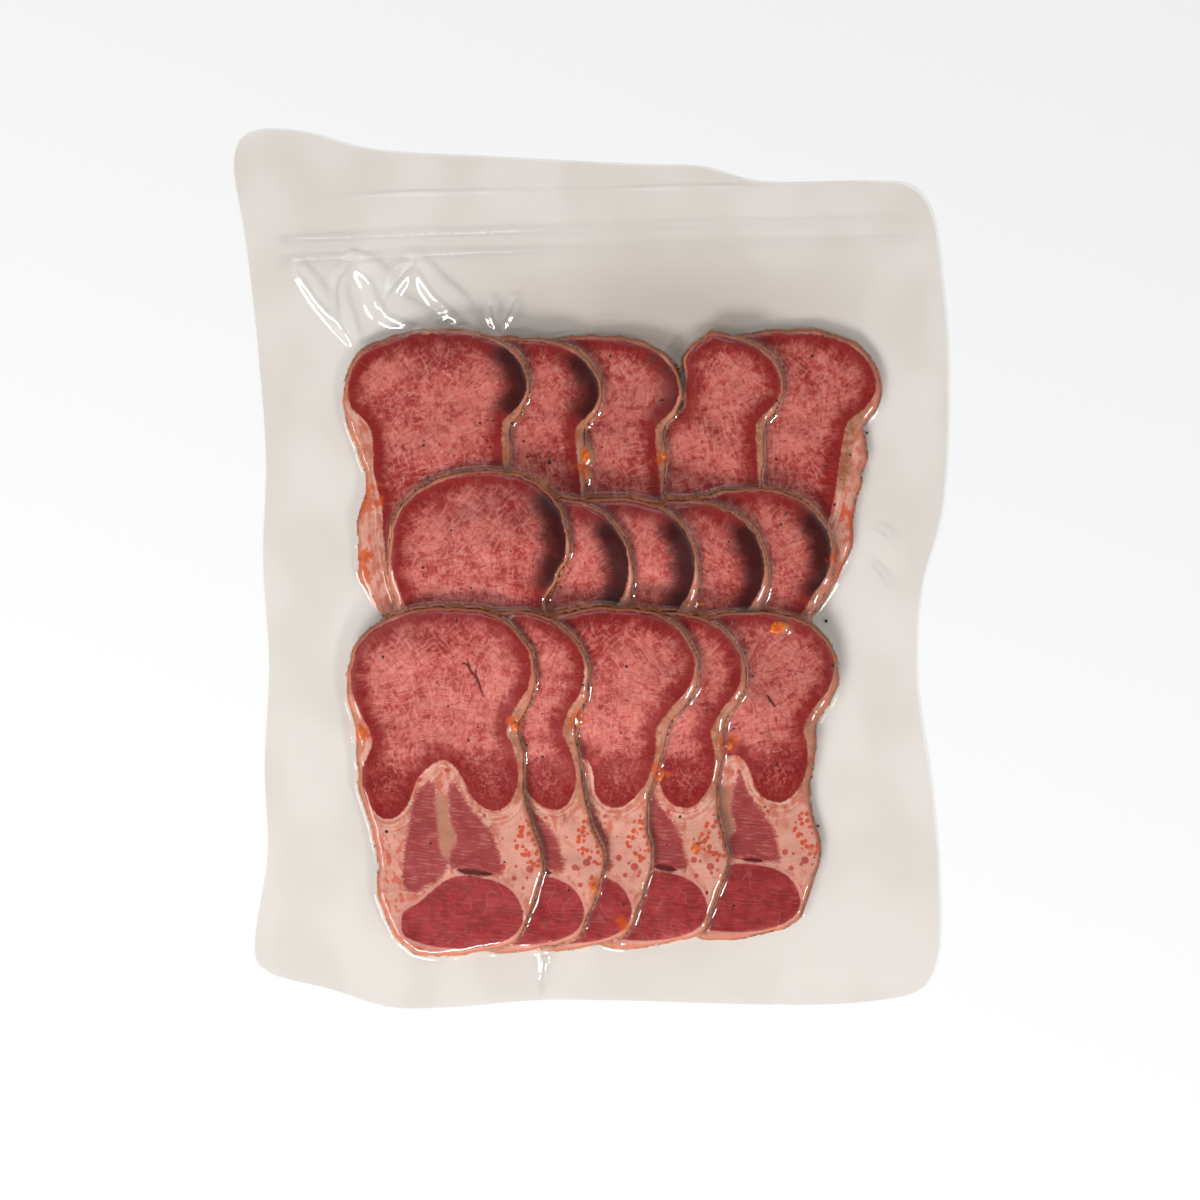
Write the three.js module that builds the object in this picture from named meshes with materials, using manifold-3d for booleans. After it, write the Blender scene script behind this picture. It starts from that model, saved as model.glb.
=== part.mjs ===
// A clear vacuum pouch of sliced beef tongue, lying flat with its shown side up.
// Fifteen slices lie in three fanned rows, and the film is drawn tight over them, so the shut
// pouch is one solid: the stepped relief of the slices inside a thin sealed margin.
//
// Millimetres. X runs across the pouch, Y up its length to the sealed mouth, Z up from the table.
// The origin is at the middle of the underside.

import * as THREE from "three";
import { mergeVertices } from "three/addons/utils/BufferGeometryUtils.js";
import Module from "manifold-3d";

// ---- Driving dimensions ------------------------------------------------------------------

const SLICE_THICKNESS = 2.6;
const SLICE_EDGE_DROP = 1.1; // how far a slice's top rounds down at its rim
const SLICE_EDGE_WIDTH = 1.6; // and how far in from the rim that rounding starts
const WAIST_SHARE = 0.33; // share of a slice's outline from its crown to its waist
const LEAN_SHARES = [0.15, 0.75]; // between these shares a slice leans over to its foot
const TRIM_SLOPE = [0.3, 0.07]; // a trimmed corner slopes over this width, down to this share

const MARGIN_THICKNESS = 0.8; // both plies of film and the air left between them
const SKIRT_SHARE = 0.8; // share of a slice's height at which the film leaves its edge
const SKIRT_FALL = 4.2; // distance over which the film settles down to the margin

const MOUTH_RIB_SPACING = 6.4; // between the two ribs of the mouth's heat seal
const MOUTH_RIB_WIDTH = 1.8;
const MOUTH_RIB_HEIGHT = 1.5;
const SIDE_SEAL_WIDTH = 4.2;
const SIDE_SEAL_HEIGHT = 1.05;

const CELL = 1.25; // spacing of the grid on which the heights are worked out
const PRESS_REACH = 6.5; // how far a slice bridges a step in what lies under it

// The film's outer edge, clockwise from the corner that stands proud, at top left.
const FILM_EDGE = [
  [-111.6, 128], [-109, 134.5], [-103, 137], [-90, 136.3], [-69, 131], [-32, 128.6],
  [18, 126], [35, 125.4], [52, 121], [88, 120.9], [99.5, 119.4], [105.5, 113], [110, 86],
  [111.5, 62], [109.5, 18], [103, -7], [101.8, -35], [106, -66], [108.4, -92], [108, -122],
  [103.5, -131], [82, -135.6], [5, -134.8], [-17, -134.8], [-46, -137.1], [-64, -136.9],
  [-81, -131.6], [-101, -126], [-104.8, -121.5], [-101, -88], [-102, -62], [-100.6, -29],
  [-102.5, 2], [-101.6, 34], [-104.4, 72], [-108, 103],
];

// The heat seals, as straight bands from one end to the other, and the mouth's two ribs.
const SEAL_LEFT = { from: [-94.5, 106], to: [-97, -124] };
const SEAL_RIGHT = { from: [100, 113], to: [100.4, -124] };
const SEAL_FOOT = { from: [-84, -130.4], to: [101, -131.6] };
const MOUTH_RIB = { from: [-97, 98.9], to: [100.5, 105.9] };

// The outline of a slice, clockwise from its crown: across in half widths from the midline,
// down in shares of the length. Its wide dorsal lobe narrows to a waist, then come the lower
// lobes, the fatty flanks and the round muscle at the foot.
const SLICE_OUTLINE = [
  [0, 0], [0.4, 0.008], [0.72, 0.045], [0.92, 0.11], [1, 0.2], [0.94, 0.27], [0.82, 0.33],
  [0.86, 0.42], [0.88, 0.53], [0.96, 0.63], [1.08, 0.725], [1.01, 0.81], [0.9, 0.89],
  [0.8, 0.95], [0.4, 0.985], [-0.08, 1], [-0.4, 0.975], [-0.56, 0.91], [-0.68, 0.825],
  [-0.68, 0.725], [-0.76, 0.63], [-0.86, 0.54], [-0.9, 0.44], [-0.92, 0.35], [-0.99, 0.27],
  [-1, 0.18], [-0.9, 0.1], [-0.67, 0.045], [-0.35, 0.012],
];

// The rows, in the order they were laid down. crown is the top of the row's first slice,
// waist the drop from crown to waist, and length the drop from crown to foot.
// Each slice: x of its crown, how far the crown sits above or below the row's, half width, how
// far its foot leans to the right, and its length as a share of the row's. trim: the slice's left
// side above the waist is cut off at that many half widths. bulges: where a side stands out
// (or in, if negative) past the outline, at a share of the length, by so many half widths.
const ROWS = [
  {
    name: "mouth_row", crown: 74.7, waist: 30, length: 92,
    slices: [
      {
        x: -47.7, rise: 0, half: 28.9, lean: -5, stretch: 1,
        bulges: [{ side: -1, share: 0.51, by: -0.25, reach: 0.1 }],
      },
      { x: -25.3, rise: -2.4, half: 28.9, lean: -3, stretch: 0.98 },
      { x: -0.4, rise: -1.8, half: 28.9, lean: -3, stretch: 0.99 },
      { x: 31.4, rise: -0.8, half: 28.9, lean: -5, stretch: 0.97, trim: -0.09 },
      {
        x: 61.2, rise: 0, half: 29, lean: -13, stretch: 1,
        bulges: [{ side: 1, share: 0.5, by: 0.22, reach: 0.2 }],
      },
    ],
  },
  {
    name: "middle_row", crown: 30.6, waist: 42, length: 88,
    slices: [
      {
        x: -34.6, rise: 0, half: 28.4, lean: 0, stretch: 1,
        bulges: [{ side: 1, share: 0.3, by: -0.12, reach: 0.07 }],
      },
      { x: -15.6, rise: -8.6, half: 28.8, lean: 0, stretch: 0.97 },
      { x: 5, rise: -8.6, half: 28.8, lean: -2, stretch: 0.95 },
      { x: 26.6, rise: -9.4, half: 28.8, lean: -4, stretch: 0.94 },
      { x: 47.8, rise: -5.6, half: 28.6, lean: -10, stretch: 0.92 },
    ],
  },
  {
    name: "foot_row", crown: -11.9, waist: 35.9, length: 108.8,
    slices: [
      { x: -46.3, rise: 0, half: 29.3, lean: 0, stretch: 1 },
      { x: -29.7, rise: -1, half: 29.2, lean: 2.5, stretch: 0.98 },
      { x: 4.6, rise: 0, half: 29.2, lean: -17, stretch: 0.985 },
      { x: 19.2, rise: -1.4, half: 29.2, lean: -8, stretch: 0.965 },
      { x: 48.1, rise: -1.4, half: 29.3, lean: -8, stretch: 0.94 },
    ],
  },
];

// Folds in the slack film between the mouth's seal and the first row: a curve, and the
// fold's width and height at its middle.
const FOLDS = [
  { curve: [[-91, 94], [-83, 84], [-73.5, 71]], width: 1.8, height: 1.7 },
  { curve: [[-71, 93], [-77, 86], [-75.5, 72]], width: 1.8, height: 2 },
  { curve: [[-67, 95], [-65, 84], [-58, 77.5], [-46, 75.5]], width: 2.4, height: 2.6 },
  { curve: [[-56, 95], [-50, 83], [-37, 74]], width: 2.2, height: 2.4 },
  { curve: [[-33.5, 82], [-31.5, 73]], width: 1.6, height: 2.2 },
  { curve: [[-17, -129], [-15.5, -121], [-18, -116]], width: 1.8, height: 1.8 },
];
const FOLD_FOOT = 0.3; // how far a fold's round section is sunk into the margin

const SLICE_SIDES = 48; // points round a slice
const SLICE_RINGS = [0.8, 0.58, 0.32]; // rings between its rounded rim and its middle
const MARGIN_SIDES = 108; // rays from the middle of the pouch to its edge
const SKIRT_RINGS = [-4, 0.4, 2, 4.5, 8, 13]; // distances of the margin's rings from the meat

// ---- Outlines ----------------------------------------------------------------------------

function smoothLoop(points, count) {
  const curve = new THREE.CatmullRomCurve3(
    points.map(([x, y]) => new THREE.Vector3(x, y, 0)),
    true,
    "centripetal",
  );
  return curve.getSpacedPoints(count).slice(0, count).map((p) => [p.x, p.y]);
}

// A share of the outline as a drop in millimetres: the part above the waist and the part
// below it stretch separately, because the rows are cut from different stretches of tongue.
function dropOf(share, row) {
  if (share < WAIST_SHARE) return (share / WAIST_SHARE) * row.waist;
  return row.waist + ((share - WAIST_SHARE) / (1 - WAIST_SHARE)) * (row.length - row.waist);
}

function sliceOutline(row, slice) {
  const [cutWidth, cutShare] = TRIM_SLOPE;
  const points = SLICE_OUTLINE.map(([outlineAcross, share]) => {
    let across = outlineAcross;
    if (slice.trim !== undefined && share < WAIST_SHARE)
      across = Math.max(across, slice.trim + cutWidth * Math.max(0, 1 - share / cutShare));
    for (const { side, share: at, by, reach } of slice.bulges ?? [])
      if (Math.sign(across) === side) across += side * by * Math.exp(-(((share - at) / reach) ** 2));
    const lean = slice.lean * THREE.MathUtils.smoothstep(share, ...LEAN_SHARES);
    return [
      slice.x + across * slice.half + lean,
      row.crown + slice.rise - dropOf(share, row) * slice.stretch,
    ];
  });
  return smoothLoop(points, SLICE_SIDES);
}

function contains(outline, x, y) {
  let inside = false;
  for (let i = 0, j = outline.length - 1; i < outline.length; j = i, i += 1) {
    const [xi, yi] = outline[i];
    const [xj, yj] = outline[j];
    const crosses = yi > y !== yj > y && x < ((xj - xi) * (y - yi)) / (yj - yi) + xi;
    if (crosses) inside = !inside;
  }
  return inside;
}

// ---- Heights -----------------------------------------------------------------------------

// A grid of heights over the pouch, read between its points in straight lines.
class HeightField {
  constructor(halfX, halfY) {
    this.columns = Math.ceil((2 * halfX) / CELL) + 1;
    this.rows = Math.ceil((2 * halfY) / CELL) + 1;
    this.left = -halfX;
    this.low = -halfY;
    this.values = new Float64Array(this.columns * this.rows);
  }

  copy() {
    const other = Object.assign(Object.create(HeightField.prototype), this);
    other.values = this.values.slice();
    return other;
  }

  at(x, y) {
    const u = THREE.MathUtils.clamp((x - this.left) / CELL, 0, this.columns - 1.001);
    const v = THREE.MathUtils.clamp((y - this.low) / CELL, 0, this.rows - 1.001);
    const i = Math.floor(u);
    const j = Math.floor(v);
    const read = (a, b) => this.values[(j + b) * this.columns + i + a];
    const near = THREE.MathUtils.lerp(read(0, 0), read(1, 0), u - i);
    const far = THREE.MathUtils.lerp(read(0, 1), read(1, 1), u - i);
    return THREE.MathUtils.lerp(near, far, v - j);
  }

  each(change) {
    for (let j = 0; j < this.rows; j += 1)
      for (let i = 0; i < this.columns; i += 1) {
        const k = j * this.columns + i;
        this.values[k] = change(this.left + i * CELL, this.low + j * CELL, this.values[k]);
      }
  }

  // Averages over a square window, along X and then along Y.
  blur(reach) {
    const cells = Math.max(1, Math.round(reach / CELL));
    for (const [step, count, lines, stride] of [
      [1, this.columns, this.rows, this.columns],
      [this.columns, this.rows, this.columns, 1],
    ]) {
      const source = this.values.slice();
      for (let line = 0; line < lines; line += 1)
        for (let i = 0; i < count; i += 1) {
          let sum = 0;
          for (let k = -cells; k <= cells; k += 1) {
            const clamped = THREE.MathUtils.clamp(i + k, 0, count - 1);
            sum += source[line * stride + clamped * step];
          }
          this.values[line * stride + i * step] = sum / (2 * cells + 1);
        }
    }
  }
}

// Lays the slices one on another, from the first row's right end to the last row's left end.
// Each one sinks onto what is under it, but bridges the steps there.
function layStack(halfX, halfY) {
  const top = new HeightField(halfX, halfY);
  const slices = [];
  for (const row of ROWS)
    for (let i = row.slices.length - 1; i >= 0; i -= 1) {
      const outline = sliceOutline(row, row.slices[i]);
      const bed = top.copy();
      bed.blur(PRESS_REACH / 2);
      bed.blur(PRESS_REACH / 2);
      bed.each((x, y, z) => Math.max(z, top.at(x, y)));
      bed.blur(CELL);
      top.each((x, y, z) => (contains(outline, x, y) ? bed.at(x, y) + SLICE_THICKNESS : z));
      slices.push({ name: `${row.name}_${i + 1}`, outline, bed });
    }
  return { slices, top };
}

// ---- Solids ------------------------------------------------------------------------------

const wasm = await Module();
wasm.setup();

function toSolid(geometry) {
  const bare = geometry.clone();
  bare.deleteAttribute("normal");
  bare.deleteAttribute("uv");
  const merged = mergeVertices(bare, 1e-4);
  const mesh = new wasm.Mesh({
    numProp: 3,
    vertProperties: merged.attributes.position.array,
    triVerts: new Uint32Array(merged.index.array),
  });
  return new wasm.Manifold(mesh);
}

function toGeometry(solid) {
  const { vertProperties, triVerts, numProp } = solid.getMesh();
  const count = vertProperties.length / numProp;
  const positions = new Float32Array(count * 3);
  for (let i = 0; i < count; i += 1)
    positions.set(vertProperties.subarray(i * numProp, i * numProp + 3), i * 3);
  const geometry = new THREE.BufferGeometry();
  geometry.setAttribute("position", new THREE.BufferAttribute(positions, 3));
  geometry.setIndex(new THREE.BufferAttribute(triVerts, 1));
  geometry.computeVertexNormals();
  return geometry;
}

// A column with a flat underside at z = 0 and a top made of nested rings about one middle
// point. rings run from the outermost inwards, and every ring has as many points.
function column(rings, middle) {
  const sides = rings[0].length;
  const positions = [
    ...rings[0].map(([x, y]) => [x, y, 0]),
    ...rings.flat(),
    middle,
    [middle[0], middle[1], 0],
  ].flat();
  const topMiddle = sides * (rings.length + 1);
  const index = [];
  for (let ring = 0; ring < rings.length; ring += 1)
    for (let i = 0; i < sides; i += 1) {
      const next = (i + 1) % sides;
      const [a, b] = [ring * sides + i, ring * sides + next];
      index.push(a, b, b + sides, a, b + sides, a + sides);
    }
  const inner = rings.length * sides;
  for (let i = 0; i < sides; i += 1) {
    const next = (i + 1) % sides;
    index.push(inner + i, inner + next, topMiddle);
    index.push(next, i, topMiddle + 1);
  }
  const geometry = new THREE.BufferGeometry();
  geometry.setAttribute("position", new THREE.Float32BufferAttribute(positions, 3));
  geometry.setIndex(index);
  return geometry;
}

// One slice with all that it lies on: from its rounded rim and its draped top to the table.
function sliceSolid({ outline, bed }) {
  const anticlockwise = outline.slice().reverse();
  const middle = anticlockwise
    .reduce(([x, y], p) => [x + p[0], y + p[1]], [0, 0])
    .map((sum) => sum / outline.length);
  const rimShare = (p) => 1 - SLICE_EDGE_WIDTH / Math.hypot(p[0] - middle[0], p[1] - middle[1]);
  const ring = (shareOf, drop) =>
    anticlockwise.map((p) => {
      const x = THREE.MathUtils.lerp(middle[0], p[0], shareOf(p));
      const y = THREE.MathUtils.lerp(middle[1], p[1], shareOf(p));
      return [x, y, bed.at(x, y) + SLICE_THICKNESS - drop];
    });
  const rings = [ring(() => 1, SLICE_EDGE_DROP), ring(rimShare, 0)];
  for (const share of SLICE_RINGS) rings.push(ring(() => share, 0));
  return toSolid(column(rings, [...middle, bed.at(...middle) + SLICE_THICKNESS]));
}

// The sealed margin, and the skirt of film that comes down to it round the meat.
function marginSolid(edge, top) {
  const meatReach = (angle, limit) => {
    let reach = 0;
    for (let r = 0; r < limit; r += CELL / 2)
      if (top.at(r * Math.cos(angle), r * Math.sin(angle)) > SLICE_THICKNESS / 2) reach = r;
    return reach;
  };
  const rays = edge
    .slice()
    .reverse()
    .map(([x, y]) => {
      const angle = Math.atan2(y, x);
      const limit = Math.hypot(x, y);
      const meat = meatReach(angle, limit);
      const height = top.at((meat - 1) * Math.cos(angle), (meat - 1) * Math.sin(angle));
      return { angle, limit, meat, height };
    });
  const point = ({ angle, limit, meat, height }, distance) => {
    const r = Math.min(meat + distance, limit - 2);
    const fall = Math.exp(-Math.max(distance, 0) / SKIRT_FALL);
    const rise = Math.max(SKIRT_SHARE * height - MARGIN_THICKNESS, 0) * fall;
    return [r * Math.cos(angle), r * Math.sin(angle), MARGIN_THICKNESS + rise];
  };
  const rings = [rays.map(({ angle, limit }) =>
    [limit * Math.cos(angle), limit * Math.sin(angle), MARGIN_THICKNESS])];
  for (const distance of SKIRT_RINGS.slice().reverse())
    rings.push(rays.map((ray) => point(ray, distance)));
  return toSolid(column(rings, [0, 0, MARGIN_THICKNESS]));
}

// A straight band or rib from one point to another, standing on the table.
function barSolid({ from, to }, width, height, shift = 0) {
  const start = new THREE.Vector2(...from);
  const run = new THREE.Vector2(...to).sub(start);
  const length = run.length();
  const bar = new THREE.BoxGeometry(length, width, height);
  bar.translate(length / 2, shift, height / 2);
  bar.rotateZ(run.angle());
  bar.translate(start.x, start.y, 0);
  return toSolid(bar);
}

// A fold of film: a round section swept along a curve, thin at both ends.
function foldSolid({ curve, width, height }) {
  const path = new THREE.CatmullRomCurve3(
    curve.map(([x, y]) => new THREE.Vector3(x, y, FOLD_FOOT)),
  );
  const [steps, sides] = [4 * curve.length, 8];
  const positions = [];
  for (let i = 0; i <= steps; i += 1) {
    const t = i / steps;
    const centre = path.getPointAt(t);
    const along = path.getTangentAt(t);
    const swell = Math.sqrt(Math.sin(Math.PI * THREE.MathUtils.lerp(0.06, 0.94, t)));
    for (let k = 0; k < sides; k += 1) {
      const angle = (2 * Math.PI * k) / sides;
      const aside = (Math.cos(angle) * width * swell) / 2;
      const rise = Math.max(Math.sin(angle) * (height - FOLD_FOOT) * swell, -FOLD_FOOT / 2);
      positions.push(centre.x - along.y * aside, centre.y + along.x * aside, centre.z + rise);
    }
  }
  const index = [];
  for (let i = 0; i < steps; i += 1)
    for (let k = 0; k < sides; k += 1) {
      const [a, b] = [i * sides + k, i * sides + ((k + 1) % sides)];
      index.push(a, b, b + sides, a, b + sides, a + sides);
    }
  const last = steps * sides;
  for (let k = 1; k < sides - 1; k += 1) {
    index.push(0, k + 1, k);
    index.push(last, last + k, last + k + 1);
  }
  const geometry = new THREE.BufferGeometry();
  geometry.setAttribute("position", new THREE.Float32BufferAttribute(positions, 3));
  geometry.setIndex(index);
  const solid = toSolid(geometry);
  if (solid.volume() > 0) return solid;
  geometry.setIndex(index.slice().reverse());
  return toSolid(geometry);
}

function pouchSolid() {
  const edge = smoothLoop(FILM_EDGE, MARGIN_SIDES);
  const halfX = Math.max(...edge.map(([x]) => Math.abs(x)));
  const halfY = Math.max(...edge.map(([, y]) => Math.abs(y)));
  const { slices, top } = layStack(halfX, halfY);
  const seals = [SEAL_LEFT, SEAL_RIGHT, SEAL_FOOT].map((seal) =>
    barSolid(seal, SIDE_SEAL_WIDTH, SIDE_SEAL_HEIGHT));
  const ribs = [-0.5, 0.5].map((side) =>
    barSolid(MOUTH_RIB, MOUTH_RIB_WIDTH, MOUTH_RIB_HEIGHT, side * MOUTH_RIB_SPACING));
  const pieces = [
    marginSolid(edge, top),
    ...seals,
    ...ribs,
    ...FOLDS.map(foldSolid),
    ...slices.map(sliceSolid),
  ];
  return pieces.reduce((all, piece) => all.add(piece));
}

// ---- The object --------------------------------------------------------------------------

const sealedFilm = new THREE.MeshStandardMaterial({
  color: 0xb65a58,
  roughness: 0.25,
  metalness: 0,
});

function pouch() {
  const geometry = toGeometry(pouchSolid());
  geometry.computeBoundingBox();
  const centre = geometry.boundingBox.getCenter(new THREE.Vector3());
  geometry.translate(-centre.x, -centre.y, 0);
  const mesh = new THREE.Mesh(geometry, sealedFilm);
  mesh.name = "sealed_pouch";
  return mesh;
}

const pack = new THREE.Group();
pack.add(pouch());

export default pack;
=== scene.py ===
# A clear vacuum pouch of sliced beef tongue, lying flat and seen from straight above.
#
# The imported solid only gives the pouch's outer form. What it stands for is made here: fifteen
# slices laid in three fanned rows, the juice and bits between them, and the clear film round them.
#
# Lengths are millimetres until a mesh is made, where they become metres. X runs across the pouch,
# Y up its length to the sealed mouth, and Z up from the table, as in the solid.

import math

import bpy
import numpy as np
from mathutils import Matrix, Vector
from mathutils.geometry import delaunay_2d_cdt


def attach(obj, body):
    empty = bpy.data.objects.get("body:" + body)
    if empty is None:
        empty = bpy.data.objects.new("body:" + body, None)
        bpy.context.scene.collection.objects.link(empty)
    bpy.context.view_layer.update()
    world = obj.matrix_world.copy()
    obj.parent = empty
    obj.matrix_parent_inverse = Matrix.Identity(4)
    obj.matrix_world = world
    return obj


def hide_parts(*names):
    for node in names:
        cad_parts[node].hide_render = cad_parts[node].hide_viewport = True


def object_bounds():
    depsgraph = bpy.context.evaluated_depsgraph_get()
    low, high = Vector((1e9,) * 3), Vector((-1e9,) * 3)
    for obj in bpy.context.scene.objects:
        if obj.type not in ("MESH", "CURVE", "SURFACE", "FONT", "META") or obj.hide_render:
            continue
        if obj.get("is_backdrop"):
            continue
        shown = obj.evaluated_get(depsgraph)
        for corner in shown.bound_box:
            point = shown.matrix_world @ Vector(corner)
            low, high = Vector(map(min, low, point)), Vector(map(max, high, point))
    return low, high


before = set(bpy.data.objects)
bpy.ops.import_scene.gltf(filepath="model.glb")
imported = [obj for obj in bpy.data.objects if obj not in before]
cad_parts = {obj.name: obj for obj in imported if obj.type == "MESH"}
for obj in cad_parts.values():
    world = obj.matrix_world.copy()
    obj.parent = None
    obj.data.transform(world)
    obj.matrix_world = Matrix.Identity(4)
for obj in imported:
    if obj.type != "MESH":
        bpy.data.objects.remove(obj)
cad_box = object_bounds()

MM = 0.001
RANDOM = np.random.default_rng(1453)

# ---- The photo's frame --------------------------------------------------------------------

PHOTO_SIZE = 1200  # pixels a side
PHOTO_PIXEL = 0.3125  # millimetres a pixel, at the table
PHOTO_ORIGIN = (591, 569)  # the pixel at which the layout below has its zero


def from_photo(px, py):
    """A pixel of the photo as a place in the layout."""
    return ((px - PHOTO_ORIGIN[0]) * PHOTO_PIXEL, (PHOTO_ORIGIN[1] - py) * PHOTO_PIXEL)


# ---- Driving dimensions, as in the solid --------------------------------------------------

SLICE_THICKNESS = 2.6
SLICE_EDGE_DROP = 1.1
SLICE_EDGE_WIDTH = 1.6
WAIST_SHARE = 0.33
LEAN_SHARES = (0.15, 0.75)
TRIM_SLOPE = (0.3, 0.07)

FILM_EDGE = [
    (-111.6, 128), (-109, 134.5), (-103, 137), (-90, 136.3), (-69, 131), (-32, 128.6),
    (18, 126), (35, 125.4), (52, 121), (88, 120.9), (99.5, 119.4), (105.5, 113), (110, 86),
    (111.5, 62), (109.5, 18), (103, -7), (101.8, -35), (106, -66), (108.4, -92), (108, -122),
    (103.5, -131), (82, -135.6), (5, -134.8), (-17, -134.8), (-46, -137.1), (-64, -136.9),
    (-81, -131.6), (-101, -126), (-104.8, -121.5), (-101, -88), (-102, -62), (-100.6, -29),
    (-102.5, 2), (-101.6, 34), (-104.4, 72), (-108, 103),
]

# The upper ply ends inside the lower one at the left and at the mouth.
UPPER_PLY_EDGE = [(-99.6, -140), (-98.9, 103), (-98.7, 115.2), (-60, 117), (48, 119.4), (120, 121)]

SEAL_BANDS = [
    ((-94.5, 106), (-97, -124)),
    ((100, 113), (100.4, -124)),
    ((-84, -130.4), (101, -131.6)),
]
SEAL_WIDTH = 4.2
MOUTH_RIB = ((-97, 98.9), (100.5, 105.9))
MOUTH_RIB_SPACING = 6.4
MOUTH_RIB_WIDTH = 1.5
MOUTH_RIB_HEIGHT = 0.8

SLICE_OUTLINE = [
    (0, 0), (0.4, 0.008), (0.72, 0.045), (0.92, 0.11), (1, 0.2), (0.94, 0.27), (0.82, 0.33),
    (0.86, 0.42), (0.88, 0.53), (0.96, 0.63), (1.08, 0.725), (1.01, 0.81), (0.9, 0.89),
    (0.8, 0.95), (0.4, 0.985), (-0.08, 1), (-0.4, 0.975), (-0.56, 0.91), (-0.68, 0.825),
    (-0.68, 0.725), (-0.76, 0.63), (-0.86, 0.54), (-0.9, 0.44), (-0.92, 0.35), (-0.99, 0.27),
    (-1, 0.18), (-0.9, 0.1), (-0.67, 0.045), (-0.35, 0.012),
]


def slice_at(x, rise, half, lean, stretch, dark=0.0, light=1.0, trim=None, bulges=()):
    """One slice's place in its row, how brown its right end is and how pale its middle is."""
    return dict(x=x, rise=rise, half=half, lean=lean, stretch=stretch, dark=dark, light=light,
                trim=trim, bulges=bulges)


# Each bulge: the side it is on, its share of the length, by how many half widths, and its reach.
ROWS = [
    dict(name="mouth_row", crown=74.7, waist=30, length=92, covered=True, slices=[
        slice_at(-47.7, 0, 28.9, -5, 1, dark=0.9, light=1.2, bulges=[(-1, 0.51, -0.25, 0.1)]),
        slice_at(-25.3, -2.4, 28.9, -3, 0.98, dark=0.8, light=0.5),
        slice_at(-0.4, -1.8, 28.9, -3, 0.99, dark=0.4, light=0.6),
        slice_at(31.4, -0.8, 28.9, -5, 0.97, dark=0.1, light=1.2, trim=-0.09),
        slice_at(61.2, 0, 29, -13, 1, dark=0.1, light=0.9, bulges=[(1, 0.5, 0.22, 0.2)]),
    ]),
    dict(name="middle_row", crown=30.6, waist=42, length=88, covered=True, slices=[
        slice_at(-34.6, 0, 28.4, 0, 1, dark=0.85, light=0.2, bulges=[(1, 0.3, -0.12, 0.07)]),
        slice_at(-15.6, -8.6, 28.8, 0, 0.97, dark=1.05, light=0.2),
        slice_at(5, -8.6, 28.8, -2, 0.95, dark=1, light=0.3),
        slice_at(26.6, -9.4, 28.8, -4, 0.94, dark=1, light=0.2),
        slice_at(47.8, -5.6, 28.6, -10, 0.92, dark=0.95, light=0.6),
    ]),
    dict(name="foot_row", crown=-11.9, waist=35.9, length=108.8, covered=False, slices=[
        slice_at(-46.3, 0, 29.3, 0, 1, light=0.8),
        slice_at(-29.7, -1, 29.2, 2.5, 0.98, light=0.8),
        slice_at(4.6, 0, 29.2, -17, 0.985),
        slice_at(19.2, -1.4, 29.2, -8, 0.965),
        slice_at(48.1, -1.4, 29.3, -8, 0.94),
    ]),
]

# ---- Anatomy of a slice, in half widths across and shares of the length down ---------------

# The tongue's own muscle. In the mouth row it has a square body below the waist.
BODY_MUSCLE = [
    (0, 0.018), (0.4, 0.028), (0.7, 0.065), (0.88, 0.125), (0.95, 0.195), (0.9, 0.25),
    (0.8, 0.285), (0.72, 0.315), (0.72, 0.36), (0.77, 0.45), (0.83, 0.55), (0.84, 0.65),
    (0.75, 0.72), (0.58, 0.79), (0, 0.87), (-0.3, 0.85), (-0.4, 0.7), (-0.44, 0.6),
    (-0.52, 0.53), (-0.58, 0.48), (-0.61, 0.413), (-0.67, 0.34), (-0.74, 0.31), (-0.9, 0.265),
    (-0.955, 0.2), (-0.88, 0.12), (-0.68, 0.062), (-0.38, 0.027),
]
# Nearer the root, two rounded lobes hang below it.
ROOT_MUSCLE = [
    (0, 0.011), (0.4, 0.019), (0.7, 0.051), (0.87, 0.106), (0.93, 0.167), (0.89, 0.233),
    (0.77, 0.282), (0.71, 0.319), (0.67, 0.356), (0.73, 0.396), (0.78, 0.445), (0.79, 0.497),
    (0.71, 0.554), (0.6, 0.577), (0.45, 0.569), (0.32, 0.537), (0.25, 0.497), (0.14, 0.451),
    (0, 0.431), (-0.14, 0.451), (-0.28, 0.491), (-0.36, 0.549), (-0.44, 0.583), (-0.55, 0.603),
    (-0.66, 0.597), (-0.78, 0.557), (-0.83, 0.514), (-0.84, 0.465), (-0.79, 0.436),
    (-0.73, 0.39), (-0.77, 0.348), (-0.83, 0.316), (-0.91, 0.267), (-0.97, 0.218),
    (-0.98, 0.175), (-0.93, 0.114), (-0.82, 0.08), (-0.61, 0.052), (-0.3, 0.022),
]
LEFT_WEDGE = [
    (-0.23, 0.514), (-0.1, 0.5), (-0.06, 0.563), (-0.04, 0.637), (-0.01, 0.697),
    (0.06, 0.736), (-0.03, 0.776), (-0.18, 0.803), (-0.32, 0.818), (-0.4, 0.805),
    (-0.42, 0.756), (-0.4, 0.697), (-0.36, 0.637), (-0.31, 0.563),
]
RIGHT_WEDGE = [
    (0.12, 0.5), (0.26, 0.56), (0.45, 0.622), (0.56, 0.667), (0.61, 0.716), (0.64, 0.756),
    (0.56, 0.763), (0.36, 0.761), (0.15, 0.749), (0.08, 0.736), (0.08, 0.697), (0.15, 0.665),
    (0.08, 0.608), (0.08, 0.53),
]
FOOT_MUSCLE = [
    (-0.44, 0.909), (-0.42, 0.875), (-0.25, 0.845), (-0.1, 0.81), (0.04, 0.781), (0.19, 0.768),
    (0.41, 0.773), (0.6, 0.786), (0.76, 0.815), (0.85, 0.86), (0.86, 0.895), (0.8, 0.929),
    (0.63, 0.959), (0.36, 0.976), (-0.07, 0.974), (-0.29, 0.959), (-0.42, 0.939),
]
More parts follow.
